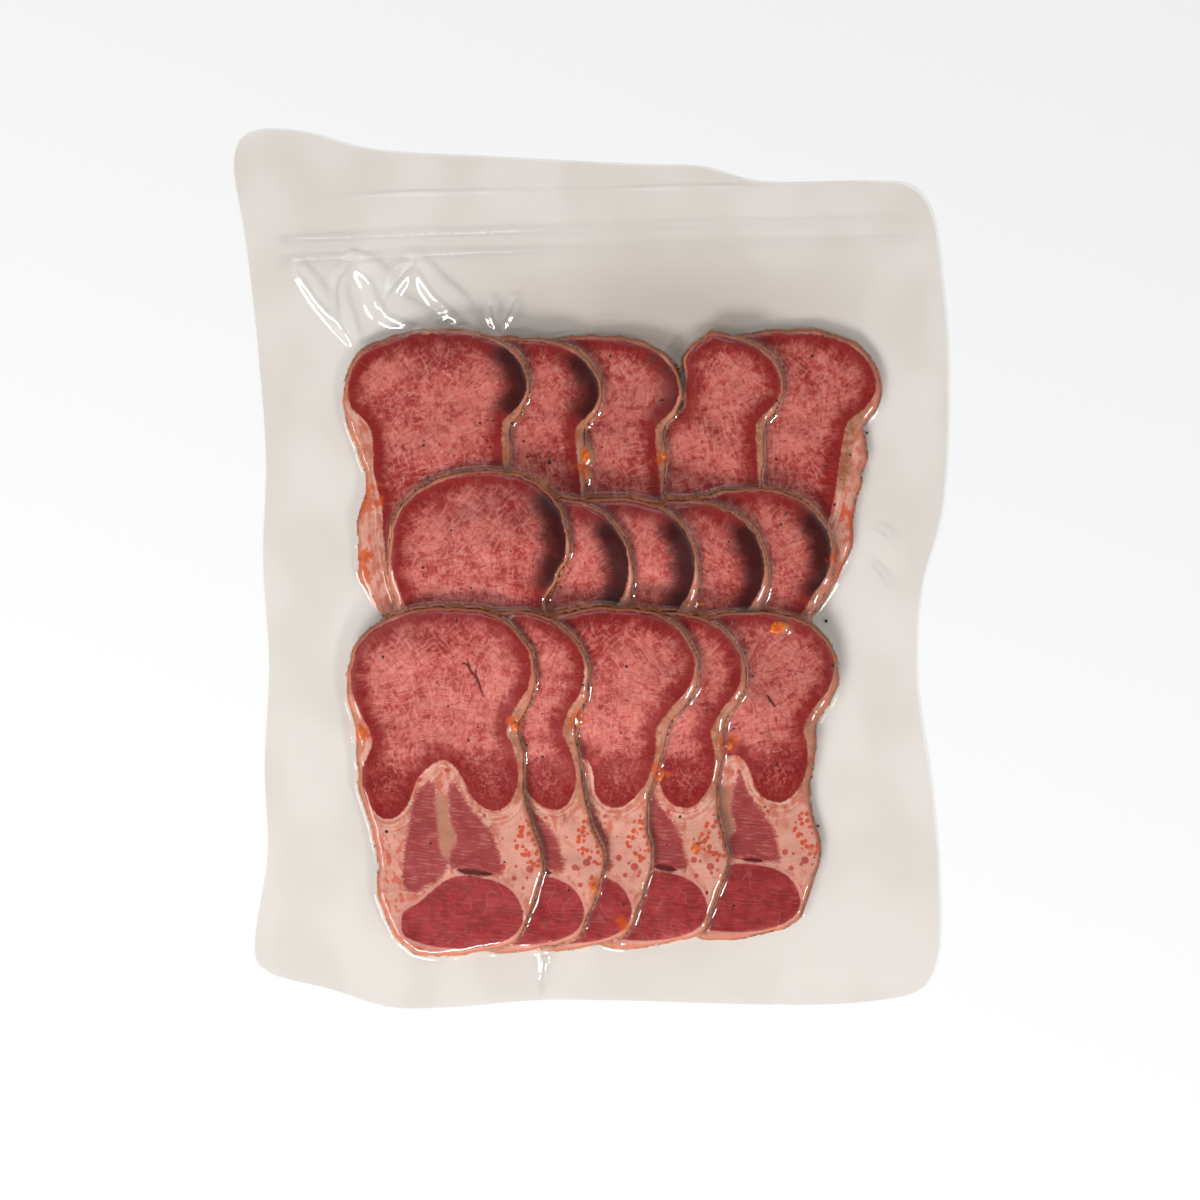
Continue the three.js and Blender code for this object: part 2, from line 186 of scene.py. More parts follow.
SEPTUM = [
    (-0.07, 0.538), (0.06, 0.548), (0.08, 0.603), (0.15, 0.662), (0.09, 0.697), (0.06, 0.726),
    (-0.02, 0.697), (-0.04, 0.657), (-0.06, 0.603),
]
RIGHT_PAD = [
    (0.63, 0.637), (0.78, 0.593), (0.93, 0.598), (1.02, 0.652), (1.08, 0.697), (1.06, 0.756),
    (0.96, 0.805), (0.91, 0.825), (0.8, 0.805), (0.69, 0.766), (0.63, 0.716), (0.61, 0.667),
]
GLAND_ARC = [(0.9, 0.617), (0.83, 0.65), (0.83, 0.687), (0.9, 0.71), (1, 0.732), (1.04, 0.7),
             (1, 0.66), (0.93, 0.64)]
GLAND_ARC_HALF = 2.3
RED_DOTS = [  # across, down, radius in millimetres
    (0.9, 0.745, 1.5), (0.66, 0.672, 0.7), (0.7, 0.741, 1.3), (0.81, 0.748, 0.8),
    (0.77, 0.775, 1.1), (0.97, 0.765, 0.8), (0.92, 0.785, 0.9), (0.43, 0.6, 0.9),
    (0.36, 0.585, 0.6), (0.5, 0.625, 0.7), (0.2, 0.437, 1.5), (-0.33, 0.44, 1.3),
    (-0.35, 0.41, 0.8), (-0.17, 0.475, 1.1), (0.12, 0.485, 1.1), (0.16, 0.42, 0.7),
]
EARS = [(0.5, 0.49, 14), (-0.6, 0.51, 12)]  # across, down, radius: the lobes' marbled middles
# Lighter places: across, down, and how far each way.
PALE_PATCHES = [
    (0.05, 0.375, 0.36, 0.05, 1.2), (-0.6, 0.15, 0.24, 0.07, 1.0), (0.45, 0.17, 0.3, 0.07, 0.9),
    (0.0, 0.27, 0.5, 0.05, 0.5), (0.0, 0.09, 0.5, 0.05, -0.7),
]

# ---- Curves, distances and fields -----------------------------------------------------------


def smooth_loop(points, count):
    """A closed centripetal Catmull-Rom curve through points, as evenly spaced points."""
    here = np.asarray(points, float)
    before, after, beyond = (np.roll(here, shift, axis=0) for shift in (1, -1, -2))
    gap_in, gap, gap_out = (
        np.sqrt(np.linalg.norm(b - a, axis=1, keepdims=True))
        for a, b in ((before, here), (here, after), (after, beyond))
    )
    leave = (here - before) / gap_in - (after - before) / (gap_in + gap) + (after - here) / gap
    reach = (after - here) / gap - (beyond - here) / (gap + gap_out) + (beyond - after) / gap_out
    t = np.linspace(0, 1, 16, endpoint=False)[:, None, None]
    curve = (
        (2 * t**3 - 3 * t**2 + 1) * here
        + (t**3 - 2 * t**2 + t) * leave * gap
        + (3 * t**2 - 2 * t**3) * after
        + (t**3 - t**2) * reach * gap
    )
    return respace(curve.transpose(1, 0, 2).reshape(-1, 2), count, closed=True)


def smooth_line(points, count):
    """An open curve through points, as evenly spaced points."""
    knots = np.asarray(points, float)
    t = np.linspace(0, len(knots) - 1, 16 * len(knots))
    i = np.minimum(t.astype(int), len(knots) - 2)
    padded = np.vstack([2 * knots[0] - knots[1], knots, 2 * knots[-1] - knots[-2]])
    u = (t - i)[:, None]
    a, b, c, d = (padded[i + k] for k in range(4))
    curve = 0.5 * (2 * b + (c - a) * u + (2 * a - 5 * b + 4 * c - d) * u**2
                   + (3 * b - a - 3 * c + d) * u**3)
    return respace(curve, count, closed=False)


def respace(curve, count, closed):
    """The same curve as count evenly spaced points."""
    whole = np.vstack([curve, curve[:1]]) if closed else curve
    run = np.r_[0, np.cumsum(np.linalg.norm(np.diff(whole, axis=0), axis=1))]
    at = np.linspace(0, run[-1], count, endpoint=not closed)
    return np.column_stack([np.interp(at, run, whole[:, k]) for k in (0, 1)])


def inset(loop, depth):
    """A closed loop, moved in by depth. It runs clockwise."""
    ahead = np.roll(loop, -1, axis=0) - np.roll(loop, 1, axis=0)
    ahead /= np.linalg.norm(ahead, axis=1, keepdims=True)
    return loop + (depth * np.column_stack([ahead[:, 1], -ahead[:, 0]]).T).T


def inside(loop, points):
    """Which points lie inside a closed loop."""
    x, y = points[..., 0], points[..., 1]
    result = np.zeros(x.shape, bool)
    for (x0, y0), (x1, y1) in zip(loop, np.roll(loop, -1, axis=0)):
        if y0 != y1:
            crosses = (y0 > y) != (y1 > y)
            result ^= crosses & (x < (x1 - x0) * (y - y0) / (y1 - y0) + x0)
    return result


def distance(line, points, closed=True):
    """Each point's distance from a line, and how far along the line it is nearest."""
    starts, ends = (line, np.roll(line, -1, axis=0)) if closed else (line[:-1], line[1:])
    nearest = np.full(points.shape[:-1], np.inf)
    along = np.zeros(points.shape[:-1])
    run = 0.0
    for a, b in zip(starts, ends):
        step = b - a
        length = math.hypot(*step)
        t = np.clip((points - a) @ step / length**2, 0, 1)
        gap = points - a - t[..., None] * step
        away = np.hypot(gap[..., 0], gap[..., 1])
        nearer = away < nearest
        nearest = np.where(nearer, away, nearest)
        along = np.where(nearer, run + t * length, along)
        run += length
    return nearest, along


def signed_distance(loop, points):
    """Distance from a closed loop, positive inside it."""
    away, _ = distance(loop, points)
    return np.where(inside(loop, points), away, -away)


def grid_distance(loop, reach):
    """Signed distance from a loop over the grid, worked out only as far as reach outside it."""
    low, high = loop.min(axis=0) - reach, loop.max(axis=0) + reach
    columns = slice(*np.searchsorted(grid_x, (low[0], high[0])))
    rows = slice(*np.searchsorted(grid_y, (low[1], high[1])))
    field = np.full(grid.shape[:2], NOWHERE)
    field[rows, columns] = signed_distance(loop, grid[rows, columns])
    return field


def smoothstep(value, low, high):
    """0 below low and 1 above high, smoothly."""
    t = np.clip((value - low) / (high - low), 0, 1)
    return t * t * (3 - 2 * t)


film_edge = smooth_loop(FILM_EDGE, 700)
middle = (film_edge.min(axis=0) + film_edge.max(axis=0)) / 2  # the solid's origin in the layout

CELL = 0.7  # spacing of the fields' grid
GRID_MARGIN = 2  # of the grid, outside the film
NOWHERE = -99.0  # the signed distance of a place that is nowhere near
half_size = film_edge.max(axis=0) - middle + GRID_MARGIN
grid_x = np.arange(middle[0] - half_size[0], middle[0] + half_size[0] + CELL, CELL)
grid_y = np.arange(middle[1] - half_size[1], middle[1] + half_size[1] + CELL, CELL)
grid = np.stack(np.meshgrid(grid_x, grid_y), axis=-1)


def read(field, points):
    """A field's values at points, in straight lines between its grid's own."""
    u = np.clip((points[:, 0] - grid_x[0]) / CELL, 0, len(grid_x) - 1.001)
    v = np.clip((points[:, 1] - grid_y[0]) / CELL, 0, len(grid_y) - 1.001)
    i, j = u.astype(int), v.astype(int)
    u, v = u - i, v - j
    near = field[j, i] * (1 - u) + field[j, i + 1] * u
    far = field[j + 1, i] * (1 - u) + field[j + 1, i + 1] * u
    return near * (1 - v) + far * v


def blur(field, reach):
    """Averages over a square window."""
    cells = max(1, round(reach / CELL))
    for axis in (0, 1):
        pad = [(cells + 1, cells) if k == axis else (0, 0) for k in (0, 1)]
        total = np.cumsum(np.pad(field, pad, mode="edge"), axis=axis)
        count = field.shape[axis]
        high = np.take(total, np.arange(2 * cells + 1, 2 * cells + 1 + count), axis=axis)
        low = np.take(total, np.arange(count), axis=axis)
        field = (high - low) / (2 * cells + 1)
    return field


def neighbour_mean(field):
    """The mean of each cell's four neighbours."""
    padded = np.pad(field, 1, mode="edge")
    return (padded[:-2, 1:-1] + padded[2:, 1:-1] + padded[1:-1, :-2] + padded[1:-1, 2:]) / 4


def lumps(*kinds):
    """A field of soft random lumps: for each kind its spread, how wide they are and a seed."""
    total = 0.0
    for spread, size, seed in kinds:
        field = np.random.default_rng(seed).standard_normal(grid.shape[:2])
        for _ in range(3):
            field = blur(field, size / 2)
        total = total + spread * (field / field.std())
    return total


# ---- Laying the slices ----------------------------------------------------------------------

PRESS_REACH = 2.8  # of each of the steps in which a slice bends down from what is under it
PRESS_STEPS = 45
EDGE_SWELL = 0.18  # of a slice's cut edge, in and out
SWELLS_ROUND = range(9, 50)  # how many such swells there are round a slice, of each size
COVERED_END = (0.7, 1)  # shares of the length over which a covered end is pressed thinner
COVERED_THINNING = 0.62
OUTLINE_POINTS = 260
EDGE_REACH = 9  # how far outside a slice its distance is worked out
RIM_START = 0.2  # how far up its quarter ellipse the rounded rim starts
EVEN_RIM = (0, 3)  # the distances from the edge over which a cut face grows uneven


def slice_place(row, piece, shares):
    """The layout's places of points given across and down a slice."""
    across, share = np.asarray(shares, float).T
    lower = (share - WAIST_SHARE) / (1 - WAIST_SHARE) * (row["length"] - row["waist"])
    drop = np.where(share < WAIST_SHARE, share / WAIST_SHARE * row["waist"], row["waist"] + lower)
    lean = piece["lean"] * smoothstep(share, *LEAN_SHARES)
    x = piece["x"] + across * piece["half"] + lean
    return np.column_stack([x, row["crown"] + piece["rise"] - drop * piece["stretch"]])


def slice_shares(row, piece, points):
    """The other way round: how far across and down a slice points lie."""
    drop = (row["crown"] + piece["rise"] - points[:, 1]) / piece["stretch"]
    lower = (drop - row["waist"]) / (row["length"] - row["waist"])
    share = np.where(drop < row["waist"], drop / row["waist"] * WAIST_SHARE,
                     WAIST_SHARE + lower * (1 - WAIST_SHARE))
    lean = piece["lean"] * smoothstep(share, *LEAN_SHARES)
    return (points[:, 0] - piece["x"] - lean) / piece["half"], share


def slice_outline(row, piece, count):
    """A slice's cut edge, with its trimmed side, its bulges and small uneven swells."""
    across, share = np.array(SLICE_OUTLINE, float).T
    if piece["trim"] is not None:
        width, depth = TRIM_SLOPE
        cut = piece["trim"] + width * np.maximum(0, 1 - share / depth)
        across = np.where(share < WAIST_SHARE, np.maximum(across, cut), across)
    for side, at, by, reach in piece["bulges"]:
        push = side * by * np.exp(-(((share - at) / reach) ** 2))
        across = across + np.where(np.sign(across) == side, push, 0)
    loop = smooth_loop(slice_place(row, piece, np.column_stack([across, share])), count)
    turns = np.linspace(0, 2 * math.pi, count, endpoint=False)[:, None]
    waves = np.array(SWELLS_ROUND)
    phases = np.random.default_rng(round(abs(piece["x"]) * 10)).uniform(0, 7, len(waves))
    swell = (np.sin(turns * waves + phases) / np.sqrt(waves)).sum(axis=1)
    return inset(loop, EDGE_SWELL * swell)


def bend_over(top):
    """How a slice lies on the pile under it: on its high places, and in gentle slopes between."""
    bed = top
    for _ in range(PRESS_STEPS):
        bed = np.maximum(top, blur(bed, PRESS_REACH))
    return blur(bed, PRESS_REACH)


def slice_rise(row, piece, points, edge):
    """How far a slice's top is above its bed: less at a covered end, and rounded at its rim."""
    _, share = slice_shares(row, piece, points)
    full = 1 - COVERED_THINNING * row["covered"] * smoothstep(share, *COVERED_END)
    t = np.clip(1 - edge / SLICE_EDGE_WIDTH, 0, 1)
    rounding = (1 - np.sqrt(1 - (1 - RIM_START**2) * t**2)) / (1 - RIM_START)
    return full * (SLICE_THICKNESS - SLICE_EDGE_DROP * rounding)


unevenness = lumps((0.1, 3, 11), (0.16, 9, 12))  # of every slice's cut face


def lay_slices():
    """Every slice from the bottom up, with its bed, the finished top and the pile's edge."""
    top = np.zeros(grid.shape[:2])
    pile = np.full(grid.shape[:2], NOWHERE)
    laid = []
    for row_number, row in enumerate(ROWS):
        for number in range(len(row["slices"]), 0, -1):
            piece = row["slices"][number - 1]
            outline = slice_outline(row, piece, OUTLINE_POINTS)
            bed = bend_over(top)
            edge = grid_distance(outline[::2], EDGE_REACH)
            rise = slice_rise(row, piece, grid.reshape(-1, 2), edge.ravel())
            height = bed + rise.reshape(bed.shape)
            top = np.where(edge > 0, height + unevenness * smoothstep(edge, *EVEN_RIM), top)
            pile = np.maximum(pile, edge)
            laid.append(dict(name=f"{row['name']}_slice_{number}", row=row, piece=piece,
                             row_number=row_number, number=number, outline=outline, bed=bed,
                             edge=edge))
    return laid, top, pile


slices, meat_top, pile_edge = lay_slices()

# ---- Meshes -----------------------------------------------------------------------------------


def put_in_scene(name, data):
    """A new object with this mesh, light or camera."""
    made = bpy.data.objects.new(name, data)
    bpy.context.scene.collection.objects.link(made)
    return made


def make_object(name, points, faces, material, slot):
    """A smooth mesh object in the pouch's frame, from points in the layout."""
    mesh = bpy.data.meshes.new(name)
    moved = (np.asarray(points, float) - [*middle, 0]) * MM
    mesh.from_pydata(moved.tolist(), [], [list(map(int, face)) for face in faces])
    mesh.update()
    mesh.shade_smooth()
    mesh.materials.append(material)
    piece = put_in_scene(name, mesh)
    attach(piece, "root")
    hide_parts("sealed_pouch")
    return piece


def set_attributes(piece, **fields):
    """Stores numbers for each point, for the material to read."""
    for name, values in fields.items():
        attribute = piece.data.attributes.new(name, "FLOAT", "POINT")
        attribute.data.foreach_set("value", np.asarray(values, np.float32))


def scatter(low, high, spacing, rng):
    """Points on an uneven triangular grid over a box."""
    rows = np.arange(low[1], high[1], spacing * math.sqrt(3) / 2)
    columns = np.arange(low[0], high[0], spacing)
    x, y = np.meshgrid(columns, rows)
    x = x + spacing / 2 * (np.arange(len(rows)) % 2)[:, None]
    points = np.column_stack([x.ravel(), y.ravel()])
    return points + rng.uniform(-0.18, 0.18, points.shape) * spacing


def triangulate(boundary, others):
    """Triangles over a boundary loop and the points inside it: the points and the faces."""
    points = np.vstack([boundary, others])
    loop = list(range(len(boundary)))
    result = delaunay_2d_cdt([Vector(p) for p in points.tolist()], [], [loop], 1, 1e-5)
    flat = np.array([tuple(p) for p in result[0]])
    return flat, face_up(flat, np.array(result[2]))


def face_up(flat, faces):
    """Triangles, each turned so that its front is up."""
    a, b, c = (flat[faces[:, k]] for k in range(3))
    turn = (b - a)[:, 0] * (c - a)[:, 1] - (b - a)[:, 1] * (c - a)[:, 0]
    return np.where(turn[:, None] < 0, faces[:, ::-1], faces)


def boundary_edges(faces):
    """The edges that only one face has, in that face's direction."""
    edges = np.vstack([faces[:, [0, 1]], faces[:, [1, 2]], faces[:, [2, 0]]])
    key = np.sort(edges, axis=1)
    _, first, count = np.unique(key, axis=0, return_index=True, return_counts=True)
    return edges[first[count == 1]]


def close_below(flat, top, bottom, faces):
    """A closed body: a top sheet, the same sheet below it, and a wall round the edge."""
    count = len(flat)
    points = np.vstack([np.column_stack([flat, top]), np.column_stack([flat, bottom])])
    edges = boundary_edges(faces)
    wall = [(b, a, a + count, b + count) for a, b in edges]
    return points, [*faces.tolist(), *(faces[:, ::-1] + count).tolist(), *wall]


# ---- Node materials ---------------------------------------------------------------------------


def linear(red, green, blue):
    """An sRGB colour, out of 255, as linear numbers."""
    share = np.array([red, green, blue]) / 255
    return tuple(np.where(share <= 0.04045, share / 12.92, ((share + 0.055) / 1.055) ** 2.4))


WHITE_UNDER_FILM = 1.08  # how bright a white surface under the film is, of a white pixel's 1.0
SHEEN_ON_TOP = 0.015  # what the film's reflection adds


def seen(red, green, blue):
    """The colour of a surface that looks like this sRGB colour through the film."""
    light = (max(0.002, c - SHEEN_ON_TOP) / WHITE_UNDER_FILM for c in linear(red, green, blue))
    return (*light, 1.0)


class Shading:
    """Builds one node tree. Values and colours are passed about as output sockets."""

    def __init__(self, name, world=False):
        self.made = (bpy.data.worlds if world else bpy.data.materials).new(name)
        self.made.use_nodes = True
        self.nodes, self.links = self.made.node_tree.nodes, self.made.node_tree.links
        self.nodes.clear()
        self.out = self.nodes.new("ShaderNodeOutput" + ("World" if world else "Material"))

    def put(self, socket, value):
        if isinstance(value, bpy.types.NodeSocket):
            self.links.new(value, socket)
        else:
            socket.default_value = value

    def node(self, kind, inputs=None, **settings):
        node = self.nodes.new(kind)
        for key, value in settings.items():
            setattr(node, key, value)
        for key, value in (inputs or {}).items():
            self.put(node.inputs[key], value)
        return node

    def math(self, operation, a, b=0.0, c=0.0):
        return self.node("ShaderNodeMath", {0: a, 1: b, 2: c}, operation=operation).outputs[0]

    def add(self, *terms):
        """A sum, in which (value, factor) is value times factor."""
        total = 0.0
        for term in terms:
            value, factor = term if isinstance(term, tuple) else (term, 1.0)
            total = self.math("MULTIPLY_ADD", value, factor, total)
        return total

    def times(self, a, b):
        return self.math("MULTIPLY", a, b)

    def step(self, value, low, high):
        """0 below low and 1 above high, smoothly. With low above high it falls."""
        inputs = {"Value": value, "From Min": low, "From Max": high}
        return self.node("ShaderNodeMapRange", inputs, interpolation_type="SMOOTHSTEP").outputs[0]

    def mix(self, factor, a, b):
        node = self.node("ShaderNodeMix", data_type="RGBA")
        self.put(node.inputs["Factor"], factor)
        self.put(node.inputs[6], a)
        self.put(node.inputs[7], b)
        return node.outputs[2]

    def paint(self, colour, *layers):
        """Colours laid over one: each with a value, where it starts and is full, and how much."""
        for other, value, low, high, most in layers:
            colour = self.mix(self.times(self.step(value, low, high), most), colour, other)
        return colour

    def attribute(self, name):
        return self.node("ShaderNodeAttribute", attribute_name=name).outputs["Fac"]

    def vector(self, x, y, z):
        return self.node("ShaderNodeCombineXYZ", {0: x, 1: y, 2: z}).outputs[0]

    def place(self):
        """Where a point is, in millimetres."""
        spot = self.node("ShaderNodeTexCoord").outputs["Object"]
        inputs = {0: spot, 1: (1000, 1000, 1000)}
        return self.node("ShaderNodeVectorMath", inputs, operation="MULTIPLY").outputs[0]

    def shifted(self, vector, by):
        return self.node("ShaderNodeVectorMath", {0: vector, 1: by}, operation="ADD").outputs[0]

    def noise(self, vector, size, detail=2.0, rough=0.5, turn=None, distort=0.0):
        """Noise across the pack, with features of this size each way, turned by an angle."""
        size = (*size, 1) if isinstance(size, tuple) else (size, size, 1)
        if turn is not None:
            vector = self.node("ShaderNodeVectorRotate", {"Vector": vector, "Angle": turn},
                               rotation_type="Z_AXIS").outputs[0]
        inputs = {0: vector, 1: tuple(1 / s for s in size)}
        scaled = self.node("ShaderNodeVectorMath", inputs, operation="MULTIPLY").outputs[0]
        inputs = {"Vector": scaled, "Scale": 1.0, "Detail": detail, "Roughness": rough,
                  "Distortion": distort}
        return self.node("ShaderNodeTexNoise", inputs, noise_dimensions="2D").outputs[0]

    def cells(self, vector, size):
        """The distance to the middle of the nearest of many random cells of about this size."""
        inputs = {"Vector": vector, "Scale": 1 / size}
        node = self.node("ShaderNodeTexVoronoi", inputs, voronoi_dimensions="2D")
        return node.outputs["Distance"]

    def patches(self, vector, size):
        """A random number from 0 to 1 for each patch of about this size."""
        inputs = {"Vector": vector, "Scale": 1 / size}
        colour = self.node("ShaderNodeTexVoronoi", inputs, voronoi_dimensions="2D").outputs["Color"]
        return self.node("ShaderNodeSeparateColor", {0: colour}).outputs[0]

    def bump(self, height, strength, depth):
        inputs = {"Height": height, "Strength": strength, "Distance": depth * MM}
        return self.node("ShaderNodeBump", inputs).outputs[0]

    def finish(self, shader):
        self.links.new(shader, self.out.inputs["Surface"])
        return self.made

    def surface(self, colour, roughness, normal, shine=0.5):
        """The finished material of a surface that nothing shows through."""
        inputs = {"Base Color": colour, "Roughness": roughness, "Specular IOR Level": shine,
                  "Normal": normal}
        return self.finish(self.node("ShaderNodeBsdfPrincipled", inputs).outputs[0])


STREAK = seen(222, 146, 134)
LIGHT_MUSCLE = seen(212, 117, 107)
MUSCLE = seen(185, 81, 76)
RED_MUSCLE = seen(158, 54, 52)
RIM_MUSCLE = seen(140, 40, 40)
VEIN = seen(214, 128, 120)
DARK_END = seen(70, 33, 27)
GREY_END = seen(128, 64, 56)
FAT = seen(202, 122, 102)
PALE_FAT = seen(224, 164, 146)
WHITE_FAT = seen(236, 190, 172)
RIND = seen(190, 118, 94)
RIND_EDGE = seen(140, 84, 58)
TAN = seen(182, 126, 100)
WEDGE_MUSCLE = seen(166, 76, 76)
FOOT_RED = seen(168, 62, 64)
FOOT_DARK = seen(150, 56, 58)
FASCIA = seen(214, 150, 138)
SEPTUM_BEIGE = seen(188, 130, 106)
GLAND = seen(208, 92, 68)
DOT_RED = seen(184, 74, 68)
SAUCE = seen(206, 86, 34)
# Juice brown, which also paints the shade along the steps under slices that lie over another.
JUICE_AND_STEP_SHADE = seen(104, 64, 44)
CRACK = seen(84, 26, 22)


def tongue_material():
    """Woven muscle in a rim of fat, with what the slices' attributes put in their places."""
    s = Shading("tongue_meat")

    def ragged_edge(name, by):
        return s.add(s.attribute(name), (wobble, by))

    seed = s.attribute("seed")
    place = s.shifted(s.place(), s.vector(seed, seed, seed))
    edge, muscle, along = s.attribute("edge"), s.attribute("muscle"), s.attribute("along")
    share = s.attribute("share")

    # The woven grain: short streaks that lie across the waist and stand below it.
    ragged = s.noise(place, 1.3, detail=2, rough=0.6)
    mottle = s.noise(place, 4.0, detail=2, rough=0.6)
    broad = s.noise(place, 11.0, detail=1)
    sway, fray = s.add(mottle, -0.5), s.add(ragged, -0.5)
    wobble = s.times(fray, 1.1)
    bundle = s.shifted(place, s.vector(s.times(mottle, 5), s.times(ragged, 4), 0.0))
    patch = s.patches(bundle, 7.0)
    lower = s.add(share, (sway, 0.3), (fray, 0.1))
    lean = s.add((s.math("GREATER_THAN", lower, 0.19), 0.75),
                 (s.math("GREATER_THAN", lower, 0.31), 1.35), -0.7)
    lean = s.add(lean, (s.add(patch, -0.5), 1.1), (s.math("GREATER_THAN", patch, 0.69), 1.2))
    weave = s.noise(place, (5.5, 1.3), detail=2, rough=0.65, turn=lean, distort=0.8)
    across = s.noise(place, (3.6, 1.0), detail=1, turn=s.add(lean, 1.45))
    deep = s.step(muscle, 1.5, 9.0)
    tone = s.add((mottle, 0.46), (broad, 0.34), (ragged, 0.2), (s.attribute("pale"), 0.12),
                 (deep, 0.02))
    below_waist = s.times(s.step(share, 0.25, 0.4), 0.6)
    colour = s.paint(
        s.mix(s.step(tone, 0.45, 0.62), MUSCLE, LIGHT_MUSCLE),
        (RED_MUSCLE, tone, 0.5, 0.39, 0.75),
        (STREAK, weave, 0.49, 0.72, 0.66),
        (RED_MUSCLE, weave, 0.49, 0.3, 0.6),
        (STREAK, across, 0.54, 0.68, 0.35),
        (RED_MUSCLE, across, 0.45, 0.3, 0.3),
        (RIM_MUSCLE, s.cells(place, 7.0), 0.085, 0.05, below_waist),
    )

    # A dark band inside the muscle's edge, with streaks that run square to it.
    inwards = s.noise(s.vector(s.add(along, seed), muscle, 0.0), (0.6, 5.0), detail=1)
    band = s.add(muscle, (s.add(inwards, -0.5), 4.5), (sway, 5.0))
    in_band = s.times(s.step(band, 7, 3), 0.4)
    colour = s.paint(colour, (RIM_MUSCLE, band, 7.2, 1.4, 0.9),
                     (RED_MUSCLE, inwards, 0.5, 0.7, in_band))

    # The marbled lobes near the root.
    web = s.cells(bundle, 1.4)
    star = s.add(s.attribute("ear"), (fray, 1.4))
    marbled = s.paint(RIM_MUSCLE, (VEIN, web, 0.42, 0.7, 0.28),
                      (RED_MUSCLE, mottle, 0.45, 0.62, 0.5), (VEIN, star, 0.93, 1.1, 0.4))
    lobe = s.add(s.attribute("ear"), (fray, 1.2))
    colour = s.paint(colour, (marbled, lobe, 0.25, 0.7, 0.9))

    # Brown ends, grey just inside them.
    brown = s.add(s.attribute("dark"), (sway, 0.5), (s.add(inwards, -0.5), 0.25))
    colour = s.paint(colour, (GREY_END, brown, 0.02, 0.45, 0.45),
                     (DARK_END, brown, 0.08, 0.74, 0.97))

    # Fat outside the muscle.
    flank, gland = s.attribute("flank"), s.attribute("gland")
    fat = s.mix(s.step(s.noise(place, (2.5, 4.0), detail=2), 0.38, 0.62), FAT, PALE_FAT)
    fat = s.paint(fat, (RIND, s.add(edge, wobble), 2.8, 1.0, 0.7))
    fat = s.mix(s.times(flank, 0.8), fat, PALE_FAT)
    blotch = s.noise(place, (2.0, 3.0), detail=2)
    fibres = s.noise(s.vector(s.add(along, seed), muscle, 0.0), (10, 0.9), detail=1)
    layers = s.add((s.step(muscle, -6.0, -1.5), 0.45), 0.1)
    strip = s.add(s.attribute("tan"), (sway, 1.2), (wobble, 0.5))
    blob = s.cells(s.shifted(place, s.vector(ragged, ragged, 0.0)), 1.8)
    blob = s.add(blob, (gland, -0.27))
    fat = s.paint(
        fat,
        (GLAND, blotch, 0.52, 0.64, s.times(flank, 0.75)),
        (PALE_FAT, ragged_edge("pad", 2.0), -1.2, 0.8, 0.85),
        (FAT, fibres, 0.52, 0.64, layers),
        (WHITE_FAT, fibres, 0.47, 0.36, layers),
        (TAN, strip, 0.2, 0.7, 0.75),
        (RIND_EDGE, strip, 0.85, 1.15, 0.6),
        (GLAND, mottle, 0.56, 0.68, 0.35),
        (GLAND, blob, 0.25, 0.13, s.step(gland, 0.05, 0.3)),
    )

    # The deep muscles, with fine strands, and the fascia round them.
    strand = s.noise(place, (5.5, 0.6), detail=1, rough=0.6, turn=0.1)
    wedge = s.paint(WEDGE_MUSCLE, (FASCIA, strand, 0.54, 0.7, 0.33),
                    (FOOT_DARK, mottle, 0.45, 0.6, 0.35))
    near_wedge = s.add(s.attribute("wedge"), (wobble, 1.5), (s.add(strand, -0.5), 2.5))
    fat = s.mix(s.step(near_wedge, -0.9, 0.6), fat, wedge)
    foot = s.mix(s.step(mottle, 0.4, 0.62), FOOT_RED, FOOT_DARK)
    sheets = s.math("ABSOLUTE", s.add(s.noise(place, 12.0, detail=1.5), (ragged, 0.03), -0.515))
    broken = s.times(s.step(broad, 0.42, 0.54), 0.17)
    foot = s.paint(foot, (FASCIA, sheets, 0.012, 0.002, broken), (FASCIA, strand, 0.5, 0.7, 0.1))
    root = ragged_edge("foot", 0.4)
    fat = s.mix(s.step(root, -0.3, 0.3), fat, foot)
    rim = s.math("ABSOLUTE", s.add(root, 0.5))
    fat = s.paint(fat, (FASCIA, rim, 0.8, 0.2, 0.85),
                  (SEPTUM_BEIGE, ragged_edge("septum", 2.6), -0.6, 0.8, 0.9))

    body = s.step(s.add(muscle, (wobble, 0.8)), -0.25, 0.35)
    colour = s.mix(body, fat, colour)

    # The dots, rind, sauce, juice stain with painted shade beside slices lying over this one, and
    # cracks.
    skin = s.add(edge, (wobble, 0.5))
    sauce = s.add(s.attribute("sauce"), (wobble, 1.0), (sway, 3.4))
    on_sauce = s.times(s.step(s.attribute("sauce"), 0.0, 0.3), 0.75)
    crack = ragged_edge("crack", 0.6)
    colour = s.paint(
        colour,
        (DOT_RED, ragged_edge("dot", 0.3), 0.1, 0.5, 0.85),
        (RIND, skin, 1.15, 0.55, 0.85),
        (RIND_EDGE, skin, 0.45, 0.0, 0.6),
        (SAUCE, sauce, 0.25, 1.1, on_sauce),
        # Juice stain and painted shade along the step where another slice lies over this one.
        (JUICE_AND_STEP_SHADE, ragged_edge("cover", 1.2), 1.6, 0.2, 0.65),
        (RIM_MUSCLE, crack, 0.05, 0.45, 0.6),
        (CRACK, crack, 0.4, 0.85, 0.85),
    )

    return s.surface(colour, 0.5, s.bump(s.noise(place, 1.0, detail=1), 0.4, 0.2), shine=0.12)


def plain_material(name, light, dark, size, roughness):
    """A two-tone mottled surface."""
    s = Shading(name)
    tone = s.noise(s.place(), size, detail=3, rough=0.6)
    colour = s.mix(s.step(tone, 0.38, 0.62), dark, light)
    return s.surface(colour, roughness, s.bump(tone, 0.6, 0.15))


